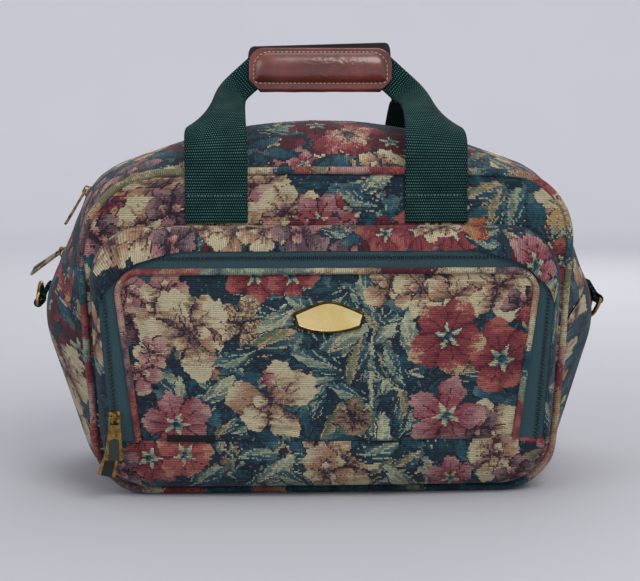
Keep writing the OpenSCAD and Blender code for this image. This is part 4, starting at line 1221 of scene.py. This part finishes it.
def coil_piece(name, node, line, out, side):
    """Interlocked coil teeth along a line of points."""
    n = int(length(line) / TOOTH)
    t = (np.arange(n) + 0.5) / n
    place, up, across = along(line, t), unit(along(out, t)), unit(along(side, t))
    odd = np.where(np.arange(n) % 2 == 0, 0.75, -0.75)[:, None]
    points, faces = beads(place + across * odd + up * 0.7, across, up, 1.75, 0.62, 0.75)
    return make_piece(name, points, faces, COIL, (node,))


def make_pocket_coil():
    flat = pocket_path(0.0)
    line, side = upright(flat, TAPE_Y), upright(outward(flat, False))
    return coil_piece("pocket_coil", "pocket_zip_coils", line, facing(0, -1, 0, line), side)


def ridge_line():
    flat = on_ring(MID_RING, strip_places(2.0))
    return flat, outward(flat, False)


def make_main_tapes():
    flat, n = ridge_line()
    grids, uvs = [], []
    run = run_along(flat)
    for y0, y1 in ((-ZIP_HALF - 1.5, -0.7), (0.7, ZIP_HALF + 1.5)):
        ys = np.linspace(y0, y1, 8)[:, None]
        drop = 1.2 + 0.25 * np.sin(np.linspace(0, math.pi, 8))[:, None] * noise(run, run * 0, 26, 64)[None]
        grids.append(upright(flat[None] - n[None] * drop[..., None], ys))
        uvs.append(np.stack(np.broadcast_arrays(ys, run[None]), -1))
    return tapes_piece("main_tapes_cloth", "main_zip_tapes", grids, uvs)


def make_main_coil():
    flat, n = ridge_line()
    line = upright(flat - n * 1.2)
    return coil_piece("main_coil", "main_zip_coils", line, upright(n), facing(0, 1, 0, line))


# Handles

FOLDED = 179.0     # angle of a strap folded on itself, in degrees


def strap_path():
    """Half a handle: its line, the way it runs and the angle of its fold at each point."""
    def on_panel(z):
        return np.array([-STRAP_X, float(panel_y(STRAP_X, z)) - 1.4, z])
    foot, sewn = on_panel(POCKET_H + 2), on_panel(PANEL_H - 12)
    seat = np.array([-STRAP_X, -HALF_D - 2 - PIPING_R - 1.6, PANEL_H + 2 * PIPING_R + 4])
    end = np.array([-GRIP_L / 2 + 1, -GRIP_Y, GRIP_Z])
    slope = math.radians(STRAP_SLOPE)
    way = np.array([math.cos(slope), 0, math.sin(slope)])
    leave = end - STRAP_RUN * way
    turned = np.array([-GRIP_L / 2 + 3 + STRAP_W / 2 * math.sin(slope), -GRIP_Y, GRIP_Z])
    p1, p2 = seat + [0, -4, 46], leave - 26 * way - [0, 9, 0]
    t = np.linspace(0, 1, 90)[:, None]
    curve = (1 - t) ** 3 * seat + 3 * (1 - t) ** 2 * t * p1 + 3 * (1 - t) * t ** 2 * p2 + t ** 3 * leave
    flat = along(np.array([foot, sewn, seat]), np.linspace(0, 1, 26))[:-1]
    run = along(np.array([leave, end]), np.linspace(0, 1, 12))[1:]
    bent = along(np.array([end, turned]), np.linspace(0, 1, 10))[1:]
    grip = along(np.array([turned, [0, -GRIP_Y, GRIP_Z]]), np.linspace(0, 1, 14))[1:]
    rise = slope * np.linspace(1, 0, 10)[1:]
    ways = np.concatenate([np.gradient(np.concatenate([flat, curve]), axis=0),
                           np.broadcast_to(way, run.shape),
                           np.stack([np.cos(rise), 0 * rise, np.sin(rise)], 1),
                           np.broadcast_to([1.0, 0.0, 0.0], grip.shape)])
    ways = unit(ways)
    join = len(flat) + len(curve)
    share = smooth((np.arange(join) - join + 14) / 14)[:, None]
    ways[:join] = unit(mix(ways[:join], way, share))
    fold = np.concatenate([np.zeros(len(flat)), FOLDED * np.clip((t[:, 0] - 0.04) / 0.88, 0, 1) ** 2,
                           np.full(len(run) + len(bent) + len(grip), FOLDED)])
    return np.concatenate([flat, curve, run, bent, grip]), ways, fold


def strap_sections(line, way, fold, thick):
    """Rows of points over the outside and the inside of a folding strap, and their places across it."""
    fold_l, n_leg, n_arc = 5.0, 9, 8
    h = (STRAP_W - fold_l) / 2
    inward = unit(np.cross(way, [0, -1, 0]))
    face = np.cross(inward, way)
    a = np.radians(np.maximum(1, fold))
    r = fold_l / a
    k = np.linspace(0, 1, n_arc)
    leg = np.linspace(0, 1, n_leg)[:-1]
    b = a[:, None] * k[None]
    arc = np.stack([fold_l / 2 - r[:, None] * np.sin(b), r[:, None] * np.cos(b) - r[:, None], b], -1)
    one = np.stack([np.broadcast_to(mix(h + fold_l / 2, fold_l / 2, leg), (len(a), n_leg - 1)),
                    np.zeros((len(a), n_leg - 1)), np.zeros((len(a), n_leg - 1))], -1)
    tip = np.stack([-np.cos(a), -np.sin(a)], -1)
    far = np.linspace(0, 1, n_leg)[1:]
    two = np.concatenate([arc[:, -1:, :2] + h * far[None, :, None] * tip[:, None],
                          np.broadcast_to(a[:, None, None], (len(a), n_leg - 1, 1))], -1)
    section = np.concatenate([one, arc, two], 1)
    across = np.concatenate([mix(0, h, leg), h + fold_l * k, h + fold_l + h * far])
    rows = []
    for s in (1, -1):
        u = section[..., 0] - s * np.sin(section[..., 2]) * thick / 2
        v = section[..., 1] + s * np.cos(section[..., 2]) * thick / 2
        rows.append(line[:, None] + inward[:, None] * u[..., None] + face[:, None] * v[..., None])
    return rows[0], rows[1], across


def make_handle(name, node, side):
    line, way, fold = strap_path()
    outer, inner, across = strap_sections(line, way, fold, STRAP_T)
    flip = np.array([-1.0, 1.0, 1.0])
    outer = np.concatenate([outer, (outer * flip)[-2::-1]])
    inner = np.concatenate([inner, (inner * flip)[-2::-1]])
    run = run_along(line)
    run = np.concatenate([run, 2 * run[-1] - run[-2::-1]])
    u = np.broadcast_to(across[None], outer.shape[:2])
    v = np.broadcast_to(run[:, None], outer.shape[:2])
    wave = 0.25 * noise(v, u, 30, 71 if side < 0 else 72)[..., None] * np.array([0, 1, 0])
    turn = np.array([1.0, -side, 1.0])
    outer, inner = (outer + wave) * turn, (inner + wave) * turn
    points, faces = slab(outer, inner)
    uv = np.concatenate([np.stack([u, v], -1).reshape(-1, 2)] * 2)
    return make_piece(name, points, faces, WEBBING, (node,), uv)


def stitch_row(name, places, along_dir, out_dir, long, material, width):
    points, faces = beads(places, along_dir, out_dir, long / 2, width, width * 0.8, 5, 6)
    return make_piece(name, points, faces, material)


def make_handle_stitches():
    places, ways = [], []
    for y_side in (-1, 1):
        for x_side in (-1, 1):
            x = x_side * STRAP_X + np.arange(-22, 22.1, 2.6)
            z = np.full_like(x, SEWN_H)
            places.append(np.stack([x, (panel_y(x, z) - 2.75) * -y_side, z], 1))
            ways.append(facing(0, y_side, 0, places[-1]))
    places, out = np.concatenate(places), np.concatenate(ways)
    return stitch_row("handle_stitches", places, facing(1, 0, 0, places), out, 1.7,
                      GREEN_THREAD, 0.5)


# Leather grip

def grip_profile(x, t):
    """Points of the wrap's outside at t from 0, the top of the front flap, to 1, the top of the rear flap."""
    bend = 4.0
    inset = np.maximum(0, np.abs(x) - GRIP_L / 2 + FLAP_R)
    front_top = GRIP_Z + 7 - FLAP_R + np.sqrt(np.maximum(0, FLAP_R ** 2 - inset ** 2))
    rear_inset = np.maximum(0, np.abs(x) - GRIP_L / 2 + 5)
    rear_top = GRIP_Z + 10.5 + 0.03 * x + np.sqrt(np.maximum(0, 25 - rear_inset ** 2)) - 5
    low = WRAP_Z0 + bend
    stops = np.array([0, 0.36, 0.44, 0.5, 0.58, 0.72, 1.0])
    by = WRAP_OUT - bend
    a = np.clip((t - stops[1]) / (stops[2] - stops[1]), 0, 1) * math.pi / 2
    b = np.clip((t - stops[3]) / (stops[4] - stops[3]), 0, 1) * math.pi / 2
    y = np.where(t < stops[1], -WRAP_OUT, -by - bend * np.cos(a))
    z = np.where(t < stops[1], mix(front_top, low, np.clip(t / stops[1], 0, 1)), low - bend * np.sin(a))
    flat = (t > stops[2]) & (t <= stops[3])
    y = np.where(flat, mix(-by, by, (t - stops[2]) / (stops[3] - stops[2])), y)
    z = np.where(flat, WRAP_Z0, z)
    up = (t > stops[3]) & (t <= stops[4])
    y = np.where(up, by + bend * np.sin(b), y)
    z = np.where(up, low - bend * np.cos(b), z)
    rear = t > stops[4]
    c = np.clip((t - stops[4]) / (1 - stops[4]), 0, 1)
    z = np.where(rear, mix(low, rear_top, c), z)
    y = np.where(rear, WRAP_OUT + 3.0 * smooth(c * 1.4 - 0.4), y)
    half = GRIP_L / 2
    cut = half - np.maximum(0, END_CUT - np.maximum(0, z - WRAP_Z0))
    return np.stack([np.broadcast_to(x * cut / half, z.shape), y, z], -1)


def make_grip_wrap():
    x = np.linspace(-GRIP_L / 2, GRIP_L / 2, 90)[None, :]
    t = np.concatenate([np.linspace(0, 0.36, 30), np.linspace(0.36, 0.58, 34)[1:],
                        np.linspace(0.58, 1, 34)[1:]])[:, None]
    x, t = np.broadcast_arrays(x, t)
    grid = grip_profile(x, t)
    normal = grid_normals(grid)
    normal *= np.sign((normal[5] * [0, -1, 0]).sum(-1).mean())
    grid = grid + normal * (0.25 * noise(x, t * 90, 14, 81))[..., None]
    points, faces = slab(grid, grid - normal * LEATHER)
    piece = make_piece("grip_wrap_leather", points, faces, LEATHER_FACE, ("grip_wrap",))
    piece.data.materials.append(LEATHER_BACK)
    cells = (grid.shape[0] - 1) * (grid.shape[1] - 1)
    index = np.zeros(len(piece.data.polygons), np.int32)
    index[cells:2 * cells] = 1
    piece.data.polygons.foreach_set("material_index", index)
    return piece


PAD_Z0, PAD_Z1, PAD_HALF, PAD_T = WRAP_Z0 + 8, GRIP_Z + 3, GRIP_L / 2 - 4.5, 6.0
PAD_R, PAD_FOOT_R = 12.5, 4       # radii of the pad's upper and lower corners


def pad_half(z):
    top = np.maximum(0, z - PAD_Z1 + PAD_R)
    foot = np.maximum(0, PAD_Z0 + PAD_FOOT_R - z)
    upper = PAD_HALF - PAD_R + np.sqrt(np.maximum(0, PAD_R ** 2 - top ** 2))
    return upper - (PAD_FOOT_R - np.sqrt(np.maximum(0, PAD_FOOT_R ** 2 - foot ** 2)))


def make_grip_pad():
    zn = (PAD_Z0 + (PAD_Z1 - PAD_Z0) * (1 - np.cos(np.linspace(0, math.pi, 64))) / 2)[:, None]
    t = -np.cos(np.linspace(0, math.pi, 130))[None, :]
    half = pad_half(zn)
    x = t * half
    z = np.broadcast_to(zn, x.shape)
    v = (z - PAD_Z0) / (PAD_Z1 - PAD_Z0) * 2 - 1
    crown = np.maximum(0, 1 - np.abs(v) ** 2.1) ** 0.72 * np.maximum(0, 1 - np.abs(t) ** 9) ** 0.6
    lean = (x * 0.75 + z * 0.9)
    crease = np.minimum(0, noise(lean, x - z, 2.4, 82, 0.45) - 0.2) * np.exp(-((x - 10) / 22) ** 2)
    drape = noise(x, z, 22, 83) * 0.16
    y = -WRAP_OUT - 0.5 - (PAD_T - 0.6) * crown - (drape + 0.34 * crease) * crown
    front = np.stack([x, y, z], -1)
    back = np.stack([x, np.full(x.shape, -WRAP_OUT - 0.1), z], -1)
    points, faces = slab(front, back)
    piece = make_piece("grip_pad_leather", points, faces, LEATHER_FACE, ("grip_pad",))
    return piece


def make_grip_stitches():
    tips = [(-PAD_HALF, PAD_Z0), (-PAD_HALF, PAD_Z1), (PAD_HALF, PAD_Z1), (PAD_HALF, PAD_Z0)]
    rim = np.concatenate([corner(tips[k - 1], tips[k % 4], tips[(k + 1) % 4], r, 12)
                          for k, r in ((1, PAD_R), (2, PAD_R), (3, PAD_FOOT_R), (4, PAD_FOOT_R))])
    rim = np.concatenate([rim, rim[:1]])
    n = int(length(rim) / 3.6)
    t = (np.arange(n) + 0.5) / n
    place, ahead = along(rim, t), along(rim, np.minimum(1, t + 0.002))
    way = unit(ahead - place)
    place = place + np.stack([-way[:, 1], way[:, 0]], 1) * 0.5
    places = upright(place, -WRAP_OUT - 0.45)
    return stitch_row("grip_stitches", places, upright(way), facing(0, -1, 0, places), 2.7,
                      CREAM_THREAD, 0.45)


# Rings' loops, badge, label and seams

TAB_HALF = 12.5    # half the width of a ring's loop


def make_ring_tab(name, node, side, out):
    """A length of webbing folded round the ring's bar and sewn to the side."""
    arc = corner(MID_SHOULDER, MID_SIDE, MID_FOOT, SIDE_R, 3)
    seat = arc[1]
    n = unit(seat - arc_centre(arc))
    t = np.array([-n[1], n[0]])
    bar, root = seat + n * out - t * 4.4, seat + n * 1.05 + t * 12.8
    way = unit(root - bar)
    cross = np.array([-way[1], way[0]])
    span = np.linalg.norm(root - bar)
    r, thin = 3.05, 0.85
    half = []
    for q in np.linspace(0, 1, 12)[::-1]:
        d = mix(1.2, span, q)
        half.append(bar + way * d + cross * mix(r, thin, smooth((d - 0.8) / 6)))
    a = np.linspace(math.radians(80), math.radians(280), 22)
    loop = bar + r * (np.cos(a)[:, None] * way + np.sin(a)[:, None] * cross)
    other = [p - 2 * ((p - bar) @ cross) * cross for p in half[::-1]]
    middle = np.concatenate([half, loop, other])
    normal = outward(middle, False)
    normal *= np.sign(((middle - bar) * normal).sum(-1).mean())
    y = np.linspace(-TAB_HALF, TAB_HALF, 18)[:, None]

    def rows(shift):
        flat = np.broadcast_to((middle + normal * shift) * [side, 1], (len(y), len(middle), 2))
        return upright(flat, y)
    points, faces = slab(rows(0.8), rows(-0.75))
    run = run_along(middle)
    uv = np.stack(np.broadcast_arrays(y, run[None]), -1).reshape(-1, 2)
    return make_piece(name, points, faces, WEBBING, (node,), np.concatenate([uv, uv]))


def arc_centre(arc):
    """Centre of the circle through three points."""
    (ax, ay), (bx, by), (cx, cy) = arc[:3]
    d = 2 * (ax * (by - cy) + bx * (cy - ay) + cx * (ay - by))
    a, b, c = ax ** 2 + ay ** 2, bx ** 2 + by ** 2, cx ** 2 + cy ** 2
    return np.array([a * (by - cy) + b * (cy - ay) + c * (ay - by),
                     a * (cx - bx) + b * (ax - cx) + c * (bx - ax)]) / d


BADGE_X, BADGE_Z, BADGE_HALF, BADGE_RISE = 0.0, FACE_Z1 - 32, 28.0, 12.75
RIM_LEVELS = 5     # steps of the plate's section that are its dark rim


def badge_outline(inset):
    """Outline of the plate: short ends, a peaked top and a low arched foot."""
    t, peak = np.linspace(-1, 1, 61), 0.35
    arch = (np.sqrt(t ** 2 + peak ** 2) - peak) / (math.sqrt(1 + peak ** 2) - peak)
    top = np.stack([t * (BADGE_HALF - inset), BADGE_RISE - 1.05 * inset - 9.0 * arch], 1)
    foot = np.stack([-t * (BADGE_HALF - 2.5 - inset), 4.5 * t ** 2 - BADGE_RISE + inset], 1)
    return np.concatenate([top, foot])


def make_badge():
    seat = float(face_y(np.array(BADGE_X), np.array(BADGE_Z - BADGE_RISE))) - 0.3
    levels = ((0.0, 0.0), (0.0, -1.3), (0.4, -1.8), (1.0, -2.0), (1.5, -2.0), (1.9, -1.5),
              (2.3, -1.5), (4.0, -1.65), (5.6, -1.75))
    rows = []
    for inset, y in levels:
        flat = badge_outline(inset)
        rows.append(np.stack([flat[:, 0] + BADGE_X, np.full(len(flat), seat + y), flat[:, 1] + BADGE_Z], 1))
    grid = np.array(rows)
    m, n = grid.shape[:2]
    faces = [tuple(f) for f in quads(m, n, wrap=True)] + [tuple(range((m - 1) * n, m * n))]
    faces += [tuple(range(n - 1, -1, -1))]
    piece = make_piece("badge_plate", grid, faces, PLATE, ("badge",))
    piece.data.materials.append(PLATE_RIM)
    index = np.zeros(len(piece.data.polygons), np.int32)
    index[:RIM_LEVELS * n] = 1
    piece.data.polygons.foreach_set("material_index", index)
    return piece


def make_label():
    x = np.linspace(-128, -90, 40)[None, :]
    z = np.linspace(SEAM_Z + 0.4, SEAM_Z + 6.0, 9)[:, None]
    x, z = np.broadcast_arrays(x, z)
    y = face_y(x, z) - 0.5 - 0.5 * smooth((z - SEAM_Z - 1) / 3) - 0.3 * noise(x, z, 12, 91)
    points, faces = slab(np.stack([x, y - 0.5, z], -1), np.stack([x, y, z], -1))
    uv = np.stack([x, z], -1).reshape(-1, 2)
    return make_piece("woven_label_cloth", points, faces, LABEL, ("woven_label",),
                      np.concatenate([uv, uv]))


def make_seam_stitches():
    """Top stitching along the seam under the pocket face."""
    x = np.arange(-FACE_FOOT, FACE_FOOT, 3.2)
    z = np.full_like(x, SEAM_Z + 2.4)
    y = face_y(x, z) + 2.6 * math.exp(-2.3 / 1.8) - 0.3
    places = np.stack([x, y, z], 1)
    return stitch_row("seam_stitches", places, facing(1, 0, 0, places), facing(0, -1, 0, places), 2.2,
                      DARK_THREAD, 0.35)


def dress_nodes():
    """Materials for the solids that stay as they are."""
    for name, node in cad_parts.items():
        if "inlay" in name:
            finish = INLAY
        elif "slider" in name or "pull" in name or "d_ring" in name:
            finish = BRASS
        elif name == "base_board":
            finish = BOARD
        else:
            continue
        node.data.materials.clear()
        node.data.materials.append(finish)


# Stage, light and camera

PHOTO_W, FOCAL_PX, SENSOR = 640, 1740, 36.0     # photo width and focal length in pixels, sensor in mm


def make_stage():
    """A wide pale floor that curves up into a round wall."""
    flat, bend, high, steps = 3.4, 0.9, 1.3, 96
    rise = np.linspace(0, math.pi / 2, 14)
    profile = [(0.02, 0.0), (1.2, 0.0), (flat, 0.0)]
    profile += [(flat + bend * math.sin(k), bend - bend * math.cos(k)) for k in rise[1:]]
    profile += [(flat + bend, high)]
    turn = np.arange(steps) * 2 * math.pi / steps
    circle = np.stack([np.cos(turn), np.sin(turn)], 1)
    grid = np.array([np.column_stack([r * circle, np.full(steps, z)]) for r, z in profile])
    faces = [tuple(int(i) for i in f) for f in quads(len(profile), steps, wrap=True)]
    faces.append(tuple(range(steps - 1, -1, -1)))
    mesh = bpy.data.meshes.new("sweep")
    mesh.from_pydata([tuple(p) for p in grid.reshape(-1, 3)], [], faces)
    mesh.polygons.foreach_set("use_smooth", [True] * len(mesh.polygons))
    sh = Shader("sweep", Roughness=0.9)
    place = sh.node("SeparateXYZ")
    sh.links.new(sh.here(), place.inputs[0])
    x, y = place.outputs[0], place.outputs[1]
    out = sh.math("POWER", sh.plus(sh.times(x, x), sh.times(y, y)), 0.5)
    far = sh.span(out, 0.0, 1.0, 0.3, 3.2)
    cloud = sh.grain(sh.here(), 3.0, 2.0)
    sh.colour(sh.blend(sh.times(sh.span(cloud, 0.8, 1.0), far), rgba("#bfbfc6"), rgba("#ecebf1")))
    rays = sh.node("LightPath").outputs
    seen = sh.math("MAXIMUM", rays["Is Camera Ray"],
                   sh.math("MAXIMUM", rays["Is Glossy Ray"], rays["Is Transmission Ray"]))
    sh.surface.inputs["Emission Color"].default_value = rgba("#eeeef6")
    sh.feed(sh.surface.inputs["Emission Strength"], sh.times(sh.times(seen, far), 0.19))
    mesh.materials.append(sh.material)
    sweep = bpy.data.objects.new("sweep", mesh)
    bpy.context.scene.collection.objects.link(sweep)


def add_light(name, place, aim, size, watts, colour):
    lamp = bpy.data.lights.new(name, "AREA")
    lamp.shape, lamp.size, lamp.energy, lamp.color = "DISK", size, watts, colour
    obj = bpy.data.objects.new(name, lamp)
    obj.location = place
    obj.rotation_mode = "QUATERNION"
    obj.rotation_quaternion = (Vector(aim) - Vector(place)).to_track_quat("-Z", "Y")
    bpy.context.scene.collection.objects.link(obj)


def light_and_camera():
    scene = bpy.context.scene
    scene.view_settings.view_transform = "Standard"
    world = bpy.data.worlds.new("studio")
    scene.world = world
    world.use_nodes = True
    world.node_tree.nodes["Background"].inputs[0].default_value = (0.93, 0.95, 1.0, 1.0)
    world.node_tree.nodes["Background"].inputs[1].default_value = 0.48
    add_light("key", (0.7, -1.5, 1.7), (0, 0, 0.15), 1.3, 22, (1.0, 0.98, 0.95))
    add_light("fill", (-1.4, -1.2, 0.9), (0, 0, 0.15), 1.4, 8, (0.95, 0.97, 1.0))
    add_light("top", (0.0, 0.3, 2.0), (0, 0, 0.2), 1.5, 7, (1.0, 1.0, 1.0))
    add_light("back", (0.5, 1.7, 1.2), (0, 0, 0.15), 1.3, 8, (1.0, 1.0, 1.0))
    camera = bpy.data.cameras.new("camera")
    camera.sensor_width, camera.lens = SENSOR, FOCAL_PX / PHOTO_W * SENSOR
    camera.clip_start, camera.clip_end = 0.05, 30
    obj = bpy.data.objects.new("camera", camera)
    azimuth, elevation, far, aim = math.radians(-3), math.radians(6), 1.5, Vector((0, 0, 0.155))
    back = Vector((math.sin(azimuth) * math.cos(elevation), -math.cos(azimuth) * math.cos(elevation),
                   math.sin(elevation)))
    obj.location = aim + back * far
    obj.rotation_mode = "QUATERNION"
    obj.rotation_quaternion = (-back).to_track_quat("-Z", "Y")
    scene.collection.objects.link(obj)
    scene.camera = obj


light_and_camera()
make_stage()
make_piping_cord("front_piping_cord", "front_piping", -HALF_D - 2, 25)
make_piping_cord("rear_piping_cord", "rear_piping", HALF_D + 2, 26)
make_front_panel()
make_rear_panel()
make_gusset_strip("gusset_front_cloth", "gusset_front", True, 1.5, top_weave)
make_gusset_strip("gusset_rear_cloth", "gusset_rear", False, 2.0, back_top_weave)
make_base_gusset()
make_pocket_cord()
make_pocket_wall()
make_pocket_face()
make_lower_band()
make_pocket_tapes()
make_pocket_coil()
make_main_tapes()
make_main_coil()
make_handle("front_handle_webbing", "handle_front", -1)
make_handle("rear_handle_webbing", "handle_rear", 1)
make_handle_stitches()
make_grip_wrap()
make_grip_pad()
make_grip_stitches()
make_ring_tab("left_tab_webbing", "ring_tab_left", -1, 7.9)
make_ring_tab("right_tab_webbing", "ring_tab_right", 1, 8.4)
make_badge()
make_label()
make_seam_stitches()
dress_nodes()
